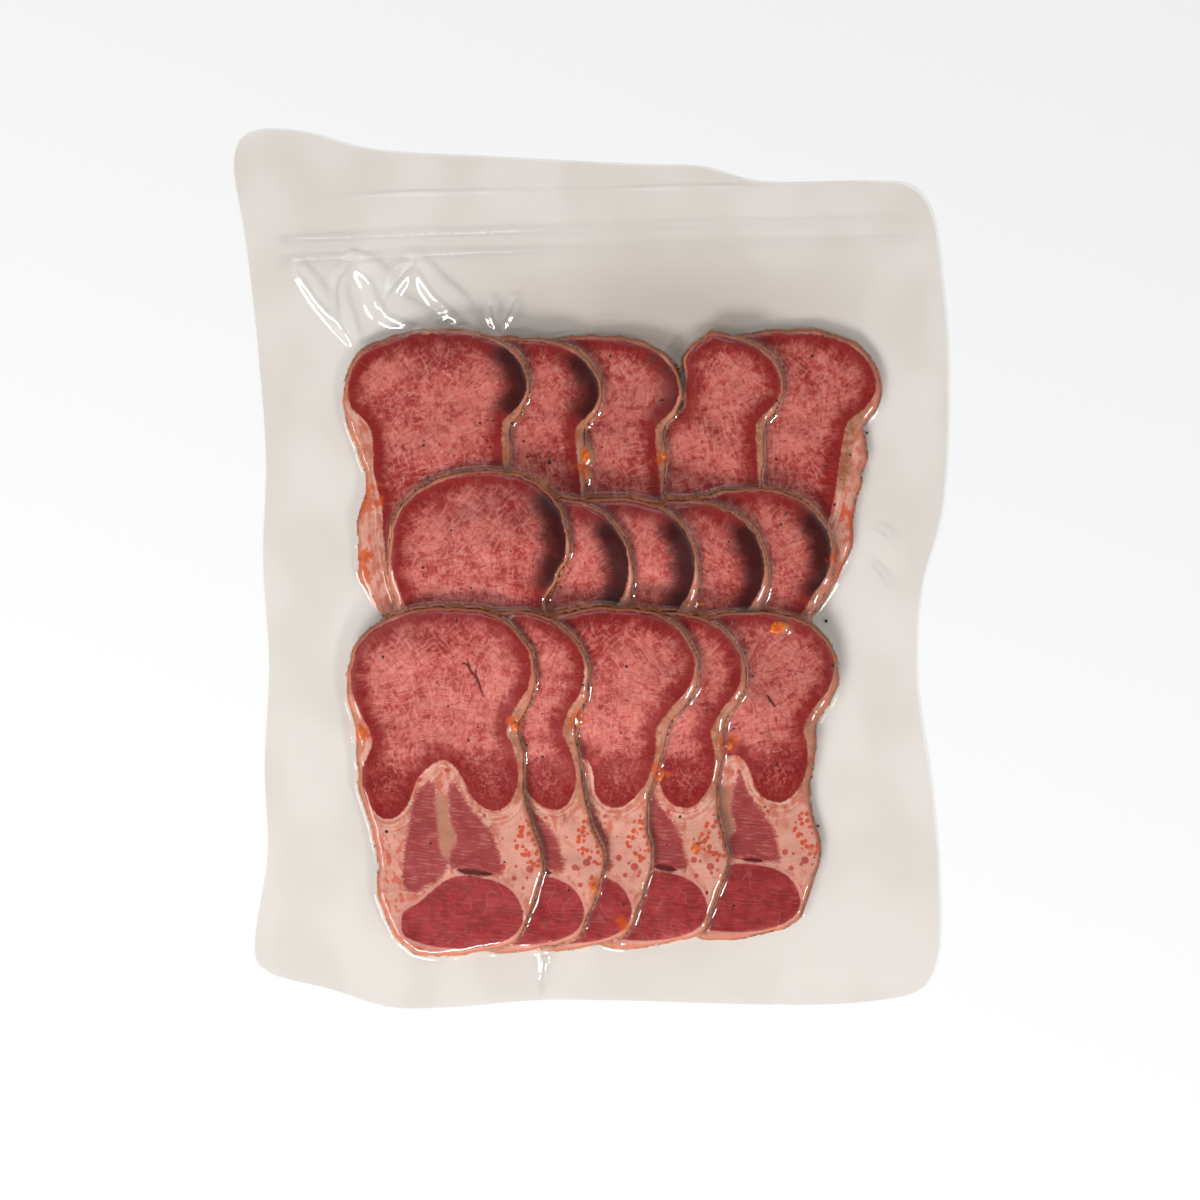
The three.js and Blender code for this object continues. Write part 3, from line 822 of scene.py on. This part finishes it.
def juice_material():
    """Olive brown between the slices, tan in places and orange red where sauce has gathered."""
    s = Shading("meat_juice")
    place = s.place()
    wobble = s.add(s.noise(place, 1.4, detail=3, rough=0.6), -0.5)
    patch = s.add(s.noise(place, 7, detail=2), (wobble, 0.4))
    colour = s.mix(s.step(patch, 0.42, 0.6), seen(164, 102, 62), seen(206, 138, 102))
    sauce = s.add(s.attribute("sauce"), (wobble, 0.8))
    colour = s.mix(s.step(sauce, 0.15, 0.6), colour, SAUCE)
    return s.surface(colour, 0.45, s.bump(wobble, 0.5, 0.15), shine=0.3)


UPPER_TINT = (0.995, 0.993, 0.99, 1)
# The lower ply's own tint, darker and lighter; patches between them paint soft reflections.
LOWER_TINTS = (0.957, 0.926, 0.895, 1), (0.984, 0.958, 0.93, 1)
# The tint that paints shade into the lower ply: above the mouth row, and a little towards the mouth.
PAINTED_SHADE_TINT = (0.835, 0.786, 0.746, 1)
LOWER_SHEEN = 0.25  # how much of the film's reflection is left where it lies on the table
FILM_SHEEN = 0.06  # of both sides of the film together, seen square on
FOLD_SHEEN = 0.16  # what its folded plies add


def film_material():
    """Clear film: what is behind shows through, tinted, under a sharp reflection."""
    s = Shading("clear_film")
    place = s.place()
    height = s.times(s.noise(place, 1.1, detail=0), s.add(0.6, (s.attribute("knurl"), 2.0)))
    normal = s.bump(height, 0.5, 0.05)
    facing = s.node("ShaderNodeLayerWeight", {"Blend": 0.5, "Normal": normal}).outputs["Facing"]
    grazing = s.math("POWER", facing, 4.0)
    square_on = s.math("MULTIPLY_ADD", s.attribute("fold"), FOLD_SHEEN, FILM_SHEEN)
    sheen = s.add((grazing, 1 - FILM_SHEEN - FOLD_SHEEN), square_on)
    sheen = s.times(sheen, s.add(1.0, (s.attribute("lower"), LOWER_SHEEN - 1)))
    # Painted soft reflections: broad lighter and darker patches in the lower ply's tint.
    painted_sheen_patches = s.noise(place, (24, 34), detail=1)
    # Painted shade: the lower ply's tint darkens above the mouth row and towards the mouth.
    grey = s.mix(s.attribute("dull"), s.mix(s.step(painted_sheen_patches, 0.34, 0.66), *LOWER_TINTS), PAINTED_SHADE_TINT)
    tint = s.mix(s.attribute("lower"), UPPER_TINT, grey)
    clear = s.node("ShaderNodeBsdfTransparent", {"Color": tint})
    gloss = s.node("ShaderNodeBsdfGlossy", {"Color": (1, 1, 1, 1), "Roughness": 0.05,
                                            "Normal": normal})
    both = s.node("ShaderNodeMixShader", {0: sheen, 1: clear.outputs[0], 2: gloss.outputs[0]})
    return s.finish(both.outputs[0])


# ---- The slices -------------------------------------------------------------------------------

SLICE_SPACING = 0.95
FINE_SPACING = 0.42  # near cracks, glands and dots
FINE_REACH = 0.8  # beyond a crack or a dot
PAD_REACH = 1  # beyond the pad with the glands
RIM_INSETS = (0.22, 0.6, 1.1, 1.7)  # of the rings of points along a slice's rim
RIM_CLEAR = 0.4  # between the innermost ring and the other points
MUSCLE_GROWTH = 0.6  # of the muscle, beyond the outline drawn above
RIND_LEAST = 0.75  # how wide the fat outside the muscle stays
SLICE_GAP = 0.1  # between a slice and what it lies on
DARK_REACH = 8.5  # how far the brown of a dark end reaches in from the edge
DARK_ACROSS, DARK_TOP, DARK_WAIST = (0.3, 0.75), (0.02, 0.1), (0.25, 0.33)  # where it is
FLANK_ACROSS, FLANK_DOWN = (0.25, 0.45), (0.58, 0.66)  # where the fatty left flank starts
BODY_FLANK_ACROSS, BODY_FLANK_DOWN = (0.5, 0.6), (0.47, 0.53)  # both flanks, in the mouth row
TAN_ACROSS, TAN_OUTER = (0.5, 0.65), (0.92, 1.0)  # the tan strip beside the waist
TAN_TOP, TAN_FOOT, TAN_REACH = (0.24, 0.3), (0.5, 0.6), (2.5, 4.5)
CRACKS = {  # slice: lines across and down it, each with its half width and its depth
    "foot_row_slice_1": [
        ([(0.27, 0.145), (0.31, 0.18), (0.38, 0.205), (0.43, 0.245), (0.47, 0.262)], 0.42, 0.4),
        ([(0.19, 0.165), (0.25, 0.16), (0.31, 0.18)], 0.3, 0.15),
        ([(0.38, 0.16), (0.36, 0.19), (0.38, 0.205), (0.33, 0.23)], 0.3, 0.15),
        ([(0.17, 0.752), (0.32, 0.757), (0.52, 0.762)], 1.3, 0.4),
    ],
    "foot_row_slice_2": [([(0.1, 0.18), (0.16, 0.2), (0.2, 0.17)], 0.7, 0.2),
                         ([(0.33, 0.76), (0.5, 0.765)], 1.4, 0.3)],
    "foot_row_slice_4": [([(0.3, 0.755), (0.52, 0.765)], 1.4, 0.3)],
    "foot_row_slice_5": [([(0.24, 0.25), (0.31, 0.275), (0.36, 0.29)], 0.5, 0.3),
                         ([(0.25, 0.755), (0.45, 0.76)], 0.9, 0.2)],
    "mouth_row_slice_5": [([(-0.22, 0.19), (-0.12, 0.205)], 0.5, 0.3),
                          ([(-0.02, 0.12), (-0.16, 0.17)], 0.6, 0.3)],
    "middle_row_slice_3": [([(-0.2, 0.12), (0.05, 0.1)], 0.5, 0.2)],
}
SAUCE_SPOTS = [  # places in the photo, and each spot's reach in millimetres
    (372, 492, 4.5), (370, 508, 5), (364, 560, 4), (366, 575, 3.5), (852, 522, 5),
    (858, 540, 4.5), (845, 575, 5), (836, 610, 4), (866, 505, 4), (516, 723, 3.5),
    (577, 717, 3.5), (729, 745, 4), (660, 772, 4), (594, 884, 2.5), (623, 922, 3),
    (362, 733, 4), (583, 470, 3), (663, 458, 2.5), (838, 560, 4), (697, 845, 3),
    (700, 600, 2), (820, 760, 3),
]


def red_dots(laid):
    """Each dot's place and radius on a slice, a little different on every one."""
    shift = np.random.default_rng(len(laid["name"]) + laid["number"]).normal(0, 1, (99, 2))
    for (a, b, radius), (across, down) in zip(RED_DOTS, shift):
        spot = slice_place(laid["row"], laid["piece"], [(a + 0.03 * across, b + 0.009 * down)])[0]
        yield spot, radius


def sauce_at(points):
    """How much orange sauce is at points, from 0 to about 1."""
    sauce = np.zeros(len(points))
    for px, py, reach in SAUCE_SPOTS:
        away = np.hypot(*(points - from_photo(px, py)).T)
        sauce = np.maximum(sauce, 1.2 - away / reach)
    return sauce


def slice_points(laid, loops, rng):
    """The points inside a slice's outline: rings at the rim, and finer ones where needed."""
    outline = laid["outline"]
    low, high = outline.min(axis=0), outline.max(axis=0)
    coarse, fine = scatter(low, high, SLICE_SPACING, rng), scatter(low, high, FINE_SPACING, rng)

    def wants_fine(points):
        near = np.zeros(len(points), bool)
        if laid["row_number"] == 2:
            near |= signed_distance(loops["pad"], points) > -PAD_REACH
            for spot, radius in red_dots(laid):
                near |= np.hypot(*(points - spot).T) < radius + FINE_REACH
        for line, half, _ in CRACKS.get(laid["name"], []):
            path = slice_place(laid["row"], laid["piece"], line)
            near |= distance(path, points, closed=False)[0] < half + FINE_REACH
        return near

    loose = np.vstack([coarse[~wants_fine(coarse)], fine[wants_fine(fine)]])
    loose = loose[signed_distance(outline, loose) > RIM_INSETS[-1] + RIM_CLEAR]
    return np.vstack([*(inset(outline, depth) for depth in RIM_INSETS), loose])


def slice_object(laid, above, material, rng):
    """One slice as a closed draped body, with the fields its material reads."""
    row, piece, outline = laid["row"], laid["piece"], laid["outline"]
    shapes = dict(muscle=BODY_MUSCLE if laid["row_number"] == 0 else ROOT_MUSCLE, left=LEFT_WEDGE,
                  right=RIGHT_WEDGE, foot=FOOT_MUSCLE, septum=SEPTUM, pad=RIGHT_PAD)
    loops = {name: smooth_loop(slice_place(row, piece, shape), 120)
             for name, shape in shapes.items()}
    flat, faces = triangulate(outline, slice_points(laid, loops, rng))

    edge = np.maximum(signed_distance(outline, flat), 0)
    away, along = distance(loops["muscle"], flat)
    muscle = np.where(inside(loops["muscle"], flat), away, -away)
    muscle = np.minimum(muscle + MUSCLE_GROWTH, edge - RIND_LEAST)
    across, share = slice_shares(row, piece, flat)

    near_end = np.exp(-((edge / DARK_REACH) ** 2))
    lobe = smoothstep(across, *DARK_ACROSS) * smoothstep(share, *DARK_TOP)
    lobe *= 1 - smoothstep(share, *DARK_WAIST)
    pale = sum(by * np.exp(-(((across - a) / w) ** 2) - ((share - b) / h) ** 2)
               for a, b, w, h, by in PALE_PATCHES)
    cover = np.full(len(flat), float(EDGE_REACH))  # how far it is to a slice that lies on this
    for other in above:
        away = -read(other["edge"], flat)
        cover = np.minimum(cover, np.where(away < 0, EDGE_REACH, away))

    root = laid["row_number"] > 0
    none = np.full(len(flat), -9.0)
    ear, gland, dot = np.zeros(len(flat)), np.zeros(len(flat)), none
    if root:
        for a, b, radius in EARS:
            centre = slice_place(row, piece, [(a, b)])[0]
            ear = np.maximum(ear, 1 - smoothstep(np.hypot(*(flat - centre).T), 0, radius))
        arc = smooth_loop(slice_place(row, piece, GLAND_ARC), 40)
        gland = 1 - smoothstep(distance(arc, flat)[0], 0, GLAND_ARC_HALF)
        for spot, radius in red_dots(laid):
            dot = np.maximum(dot, radius - np.hypot(*(flat - spot).T))
    region = {name: signed_distance(loops[name], flat) if root else none
              for name in ("pad", "left", "right", "foot", "septum")}
    flank = smoothstep(-across, *FLANK_ACROSS) * smoothstep(share, *FLANK_DOWN)
    if not root:
        flank = smoothstep(abs(across), *BODY_FLANK_ACROSS) * smoothstep(share, *BODY_FLANK_DOWN)
    tan = smoothstep(across, *TAN_ACROSS) * (1 - smoothstep(across, *TAN_OUTER))
    tan *= smoothstep(share, *TAN_TOP) * (1 - smoothstep(share, *TAN_FOOT))
    tan *= 1 - smoothstep(-muscle, *TAN_REACH)

    crack, cut = np.zeros(len(flat)), np.zeros(len(flat))
    for line, half, depth in CRACKS.get(laid["name"], []):
        path = smooth_line(slice_place(row, piece, line), 24)
        away, run = distance(path, flat, closed=False)
        length = np.linalg.norm(np.diff(path, axis=0), axis=1).sum()
        taper = np.sqrt(np.sin(math.pi * np.clip(run / length, 0.03, 0.97)))
        near = np.clip(1.3 - away / (half * taper), 0, 1)
        crack = np.maximum(crack, near)
        cut = np.maximum(cut, near * depth)

    bed = read(laid["bed"], flat)
    top = bed + slice_rise(row, piece, flat, edge)
    top += read(unevenness, flat) * smoothstep(edge, *EVEN_RIM)
    points, faces = close_below(flat, top - cut, bed + SLICE_GAP, faces)
    made = make_object(laid["name"], points, faces, material, "tongue_muscle")
    fields = dict(
        edge=edge, muscle=muscle, along=along, share=share, cover=cover, ear=ear, gland=gland,
        dot=dot, crack=crack, flank=flank, tan=tan, sauce=sauce_at(flat), pale=pale * piece["light"],
        dark=piece["dark"] * near_end * lobe, wedge=np.maximum(region["left"], region["right"]),
        pad=region["pad"], foot=region["foot"], septum=region["septum"],
        seed=np.full(len(flat), float(rng.uniform(0, 900))),
    )
    set_attributes(made, **{name: np.tile(field, 2) for name, field in fields.items()})


tongue = tongue_material()
for index, laid in enumerate(slices):
    above = [other for other in slices[index + 1:] if other["row_number"] <= laid["row_number"] + 1]
    slice_object(laid, above, tongue, RANDOM)

# ---- Bits of vegetable and pepper -----------------------------------------------------------

BITS = [  # places in the photo, half width, half length and turn
    (583, 456, 2.6, 2.7, 0), (584, 475, 1.4, 2.4, 0.3), (663, 455, 0.9, 1.5, 0.2),
    (776, 627, 3.1, 1.9, 0.1), (361, 731, 1.1, 2.6, 0.1), (661, 774, 1.0, 2.2, -0.4),
    (594, 886, 0.8, 2.2, -0.1), (516, 725, 0.9, 2.0, 0.2), (577, 719, 0.9, 2.0, 0.1),
    (729, 744, 1.0, 1.7, 0), (696, 846, 0.9, 1.8, -0.6), (700, 604, 1.6, 0.6, 0.1),
]
BIT_HEIGHT = 0.75
PEPPER_PLACES = [
    (524, 442), (452, 531), (361, 560), (373, 596), (472, 588), (424, 568), (822, 336),
    (867, 433), (861, 478), (857, 492), (834, 505), (785, 514), (728, 542), (823, 594),
    (826, 621), (584, 676), (583, 684), (582, 692), (583, 703), (621, 732), (578, 673),
    (569, 889), (375, 846), (387, 831), (818, 826), (814, 857), (812, 777), (667, 844),
    (686, 800), (733, 728), (749, 668), (752, 676), (491, 448), (608, 368), (577, 744),
]
PEPPER_LOOSE = 60
PEPPER_RADII = (0.28, 0.5)
PEPPER_LOWEST = 0.27  # over the table, for a speck beside the meat


def lump(centre, radii, turn, roughness, rng):
    """An uneven pebble: points and faces."""
    rings, sides = 9, 14
    points = [(0, 0, -1)]
    for i in range(1, rings):
        polar = math.pi * (1 - i / rings)
        for k in range(sides):
            angle = 2 * math.pi * k / sides
            points.append((math.sin(polar) * math.cos(angle), math.sin(polar) * math.sin(angle),
                           math.cos(polar)))
    points = np.array([*points, (0, 0, 1)])
    waves = rng.normal(size=(5, 3)) * 2.2
    swell = 1 + roughness * np.sin(points @ waves.T + rng.uniform(0, 6, 5)).mean(axis=1)
    points = points * swell[:, None] * radii
    c, s = math.cos(turn), math.sin(turn)
    points = points @ np.array([[c, s, 0], [-s, c, 0], [0, 0, 1]]) + centre
    faces = []
    for k in range(sides):
        after = (k + 1) % sides
        faces.append((0, 1 + after, 1 + k))
        for i in range(rings - 2):
            a, b = 1 + i * sides, 1 + (i + 1) * sides
            faces.append((a + k, a + after, b + after, b + k))
        last = 1 + (rings - 2) * sides
        faces.append((last + k, last + after, len(points) - 1))
    return points, faces


def join(parts):
    """Several points-and-faces pairs as one."""
    points, faces, count = [], [], 0
    for some_points, some_faces in parts:
        points.append(some_points)
        faces += [tuple(i + count for i in face) for face in some_faces]
        count += len(some_points)
    return np.vstack(points), faces


bit_top = np.zeros(grid.shape[:2])
bits = []
for px, py, half_width, half_length, turn in BITS:
    place = np.array(from_photo(px, py))
    ground = read(blur(meat_top, 1.0), place[None])[0]
    bits.append(lump((*place, ground), (half_width, half_length, BIT_HEIGHT), turn, 0.35, RANDOM))
    away = np.hypot(*((grid - place) / [half_width + 0.4, half_length + 0.4]).transpose(2, 0, 1))
    dome = ground + BIT_HEIGHT * np.sqrt(np.clip(1.2 - away**2, 0, 1))
    bit_top = np.where(away < 1.1, np.maximum(bit_top, dome), bit_top)
make_object("vegetable_bits", *join(bits),
            plain_material("vegetable", seen(232, 124, 22), seen(206, 88, 22), 1.5, 0.4),
            "seasoning")

pepper = []
on_meat = np.argwhere(pile_edge > 1)
loose_places = [grid[j, i] for j, i in RANDOM.choice(on_meat, PEPPER_LOOSE)]
for place in [*(np.array(from_photo(*p)) for p in PEPPER_PLACES), *loose_places]:
    radius = RANDOM.uniform(*PEPPER_RADII)
    ground = max(read(meat_top, place[None])[0], PEPPER_LOWEST)
    pepper.append(lump((*place, ground), (radius, radius * RANDOM.uniform(0.7, 1.2), 0.16),
                       RANDOM.uniform(0, 3), 0.5, RANDOM))
make_object("pepper_specks", *join(pepper),
            plain_material("pepper", seen(70, 44, 34), seen(34, 22, 20), 0.4, 0.6), "seasoning")

# ---- The film ---------------------------------------------------------------------------------

FILM_BOTTOM = 0.03  # over the table
ONE_PLY = 0.16  # the film's height over the table where it is the lower ply alone
TWO_PLIES = 0.42
FILM_LIFT = 0.3  # of the upper ply over the meat
TENT_BEND = 2.4  # how sharply the vacuum bends the film where it spans a gap, per millimetre
TENT_STEPS = 120
SEAL_HEIGHT = 0.3
SEAL_PRESS = 0.6  # how much of the way to that height the film is pressed at a seal
FILM_SPACING, UNDER_SPACING = 0.85, 3.5  # of the points of its top and of its flat underside
WRINKLES = [  # places in the photo along each fold, its width and height in millimetres
    ([(292, 262), (318, 300), (352, 342)], 4.6, 2.1),
    ([(352, 262), (338, 285), (342, 318), (356, 350)], 4.6, 2.2),
    ([(350, 262), (372, 282), (385, 312), (440, 332)], 7.0, 3.5),
    ([(415, 262), (395, 288), (385, 310)], 5.5, 2.6),
    ([(415, 262), (432, 292), (455, 312), (478, 334)], 6.0, 2.9),
    ([(435, 322), (448, 318), (460, 324)], 2.6, 1.2),
    ([(490, 300), (493, 318), (502, 338)], 3.6, 1.7),
    ([(517, 296), (508, 316), (500, 332)], 3.0, 1.4),
    ([(590, 318), (600, 322), (622, 318)], 1.6, 0.5),
    ([(536, 944), (543, 962), (541, 996)], 2.4, 1.1),
    ([(550, 946), (544, 968)], 1.8, 0.8),
    ([(870, 528), (884, 534), (892, 544)], 2.0, 0.8),
    ([(868, 560), (885, 580), (889, 592)], 2.0, 0.6),
]
CREASES = [  # the same, where the film lies on the meat
    ([(830, 533), (842, 527), (846, 545), (838, 549)], 1.0, 0.45),
    ([(829, 572), (822, 585), (813, 596), (817, 613)], 1.0, 0.5),
    ([(849, 567), (842, 578), (829, 594)], 1.0, 0.5),
    ([(593, 919), (600, 914), (607, 922)], 1.2, 0.5),
    ([(631, 908), (640, 896), (646, 885)], 1.0, 0.4),
    ([(707, 930), (716, 937)], 1.0, 0.4),
    ([(513, 612), (514, 622)], 1.0, 0.5),
]
PAINTED_SHADE_PLACE = (665, 318)  # where the painted shade on the film above the mouth row is darkest in the photo
PAINTED_SHADE_SIZE = (52, 20)  # and how far that reaches, in millimetres
PAINTED_SHADE_AT_MOUTH = 0.04  # how much painted shade darkens the film at its mouth, next to its foot


def ridge_field(points, line, width, height):
    """A fold's height at points: round on top, and thin at both ends."""
    away, along = distance(line, points, closed=False)
    length = np.linalg.norm(np.diff(line, axis=0), axis=1).sum()
    swell = np.sqrt(np.clip(np.sin(math.pi * np.clip(along / length, 0.02, 0.98)), 0, 1))
    return height * swell * np.exp(-((away / (width * 0.5 * (0.4 + 0.6 * swell))) ** 2))


def drape():
    """The upper ply's height over the grid: tight on the meat, tented at its edges."""
    floor = np.maximum(meat_top, bit_top)
    floor = np.maximum(neighbour_mean(floor), floor) + FILM_LIFT
    floor = np.maximum(floor, TWO_PLIES)
    film = floor.copy()
    for _ in range(TENT_STEPS):
        film = np.maximum(floor, neighbour_mean(film) - TENT_BEND * CELL**2 / 4)
    return neighbour_mean(neighbour_mean(film))


def film_field():
    """The film's top over the grid, and how knurled and how folded it is there."""
    film = drape()
    # The slack margin swells a little between the film's edge and the meat.
    margin = smoothstep(distance(film_edge[::4], grid)[0], 0, 6) * smoothstep(-pile_edge, 2, 8)
    film = film + margin * lumps((0.1, 7, 21), (0.2, 18, 22)).clip(-0.2, 1)
    fold = np.zeros(grid.shape[:2])
    for pixels, width, height in WRINKLES + CREASES:
        line = smooth_line([from_photo(*p) for p in pixels], 16)
        ridge = ridge_field(grid, line, width, height)
        film = film + ridge
        fold = np.maximum(fold, ridge / height)
    for side in (-0.5, 0.5):
        rib = np.array(MOUTH_RIB) + [0, side * MOUTH_RIB_SPACING]
        away, _ = distance(rib, grid, closed=False)
        firm = MOUTH_RIB_HEIGHT * (0.45 + lumps((0.3, 26, 23))).clip(0.12, 1)
        film = film + firm * np.exp(-((away / (MOUTH_RIB_WIDTH / 2)) ** 2))
        fold = np.maximum(fold, firm * np.exp(-((away / MOUTH_RIB_WIDTH) ** 2)))
    knurl = np.zeros(grid.shape[:2])
    for band in SEAL_BANDS:
        away, _ = distance(np.array(band), grid, closed=False)
        within = 1 - smoothstep(away, SEAL_WIDTH / 2 - 0.6, SEAL_WIDTH / 2 + 0.2)
        film = film + (SEAL_HEIGHT - film) * SEAL_PRESS * within
        knurl = np.maximum(knurl, within)
    ply = np.array(UPPER_PLY_EDGE, float)
    region = np.vstack([ply, (120, -140)])
    upper = smoothstep(signed_distance(region, grid), -0.4, 0.4)
    return ONE_PLY + (film - ONE_PLY) * upper, knurl, fold


def film_object(material):
    """The whole pouch as one closed body of film, with the meat inside it."""
    rng = np.random.default_rng(5)
    low, high = film_edge.min(axis=0), film_edge.max(axis=0)
    sheets = []
    for spacing in (FILM_SPACING, UNDER_SPACING):
        points = scatter(low, high, spacing, rng)
        points = points[signed_distance(film_edge[::2], points) > spacing * 0.6 + 0.3]
        sheets.append(triangulate(film_edge, np.vstack([inset(film_edge, 0.3), points])))
    (flat, faces), (under, under_faces) = sheets
    count, rim = len(flat), len(film_edge)
    top, knurl, fold = film_field()
    height = read(top, flat)
    points = np.vstack([np.column_stack([flat, height]),
                        np.column_stack([under, np.full(len(under), FILM_BOTTOM)])])
    wall = [(k, (k + 1) % rim, count + (k + 1) % rim, count + k) for k in range(rim)]
    faces = [*faces.tolist(), *(under_faces[:, ::-1] + count).tolist(), *wall]
    # Painted shade on the lower ply: a soft patch above the mouth row, and slight darkening towards
    # the mouth.
    shade = np.exp(-((((under - from_photo(*PAINTED_SHADE_PLACE)) / PAINTED_SHADE_SIZE) ** 2).sum(axis=1)))
    shade = np.maximum(shade, PAINTED_SHADE_AT_MOUTH * smoothstep(under[:, 1], -40, 110))
    above, below = np.zeros(len(flat)), np.zeros(len(under))
    set_attributes(make_object("pouch_film", points, faces, material, "clear_film"),
                   knurl=np.r_[read(knurl, flat), below], fold=np.r_[read(fold, flat), below],
                   lower=np.r_[above, below + 1], dull=np.r_[above, shade])
    return top


film_top = film_object(film_material())

# ---- Juice in the gaps beside the slices -----------------------------------------------------

JUICE_START = 0.6  # how wide a gap under the film has to be before juice stands in it
JUICE_FILL = 0.8  # of the gap
JUICE_REACH = 0.5  # beyond the pile's edge
JUICE_SINK = 0.05  # of its level at its own edge
JUICE_DEPTH = 0.5  # into the meat
THINNEST = 0.02


def juice_object():
    """Juice that stands under the film wherever the gap beside a slice is wide enough."""
    gap = film_top - meat_top - FILM_LIFT - JUICE_START
    room = np.minimum(gap, pile_edge + JUICE_REACH)
    level = meat_top + gap.clip(0) * JUICE_FILL * smoothstep(room, 0, 0.6) - JUICE_SINK
    wanted = room > 0
    cell = wanted[:-1, :-1] | wanted[1:, :-1] | wanted[:-1, 1:] | wanted[1:, 1:]
    j, i = np.nonzero(cell)
    width = grid.shape[1]
    corner = j * width + i
    quads = np.column_stack([corner, corner + 1, corner + width + 1, corner + width])
    used, index = np.unique(quads, return_inverse=True)
    index = index.reshape(quads.shape)
    faces = np.vstack([index[:, [0, 1, 2]], index[:, [0, 2, 3]]])
    slope = np.stack(np.gradient(room, CELL)[::-1], axis=-1).reshape(-1, 2)[used]
    outside = np.minimum(room.reshape(-1)[used], 0)
    steep = np.maximum((slope**2).sum(axis=1), outside**2 / CELL**2 + 1e-9)
    flat = grid.reshape(-1, 2)[used] - slope * (outside / steep)[:, None]  # its edge made smooth
    top = read(level, flat)
    bottom = np.minimum(top, read(meat_top, flat)) - JUICE_DEPTH
    bottom = np.maximum(bottom, FILM_BOTTOM + THINNEST)
    top = np.maximum(top, bottom + THINNEST)
    points, faces = close_below(flat, top, bottom, faces)
    made = make_object("juice", points, faces, juice_material(), "meat_juice")
    set_attributes(made, sauce=np.tile(sauce_at(flat), 2))


juice_object()

# ---- Table, light and camera ------------------------------------------------------------------

TABLE_SIZE = 3.0  # metres, as the next one
TABLE_TOP = -0.0001
TABLE_COLOUR = (0.86, 0.86, 0.86, 1)
CAMERA_LENS = 150.0  # millimetres, as the sensor's width
SENSOR = 36.0


def table():
    """The pale table, as stage."""
    mesh = bpy.data.meshes.new("table")
    h = TABLE_SIZE / 2
    mesh.from_pydata([(-h, -h, 0), (h, -h, 0), (h, h, 0), (-h, h, 0)], [], [(0, 1, 2, 3)])
    s = Shading("pale_table")
    shader = s.node("ShaderNodeBsdfDiffuse", {"Color": TABLE_COLOUR})
    mesh.materials.append(s.finish(shader.outputs[0]))
    floor = put_in_scene("table", mesh)
    floor.location.z = TABLE_TOP
    floor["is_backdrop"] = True


def softbox(name, azimuth, elevation, away, size, power):
    """An area light that looks at the pouch. Azimuth 0 is the foot side, 90 the right.

    Its distance, width and height are metres, and its power is watts."""
    lamp = bpy.data.lights.new(name, "AREA")
    lamp.shape = "RECTANGLE"
    lamp.size, lamp.size_y = size
    lamp.energy = power
    holder = put_in_scene(name, lamp)
    a, e = math.radians(azimuth), math.radians(elevation)
    toward = Vector((math.sin(a) * math.cos(e), -math.cos(a) * math.cos(e), math.sin(e)))
    holder.location = toward * away
    holder.rotation_euler = toward.to_track_quat("Z", "Y").to_euler()


def surroundings():
    """A dim studio: dark straight overhead and paler towards the sides."""
    s = Shading("studio", world=True)
    spot = s.node("ShaderNodeTexCoord").outputs["Generated"]
    up = s.node("ShaderNodeSeparateXYZ", {0: spot}).outputs[2]
    ramp = {"Value": up, "From Min": 1.0, "From Max": 0.6, "To Min": 0.1, "To Max": 0.7}
    strength = s.node("ShaderNodeMapRange", ramp).outputs[0]
    sky = s.node("ShaderNodeBackground", {"Strength": strength})
    bpy.context.scene.world = s.finish(sky.outputs[0])


def camera():
    """The photo's view, from straight above."""
    lens = bpy.data.cameras.new("camera")
    lens.lens, lens.sensor_width = CAMERA_LENS, SENSOR
    holder = put_in_scene("camera", lens)
    width = PHOTO_SIZE * PHOTO_PIXEL * MM
    x, y = from_photo(PHOTO_SIZE / 2, PHOTO_SIZE / 2)
    holder.location = ((x - middle[0]) * MM, (y - middle[1]) * MM, width * CAMERA_LENS / SENSOR)
    lens.clip_end = 20
    bpy.context.scene.camera = holder


table()
softbox("key_softbox", -24, 27, 2.6, (1.6, 0.45), 70)
softbox("left_softbox", -66, 32, 2.4, (0.9, 0.7), 13)
softbox("right_softbox", 60, 30, 2.6, (0.3, 0.3), 17)
softbox("rear_softbox", 200, 35, 2.4, (1.4, 1.4), 3.5)
surroundings()
camera()
bpy.context.scene.view_settings.view_transform = "Standard"
bpy.context.scene.view_settings.look = "None"

boxes = {"cad": cad_box, "visual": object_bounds()}
({key: [[float(v) for v in corner] for corner in box]
           for key, box in boxes.items()})
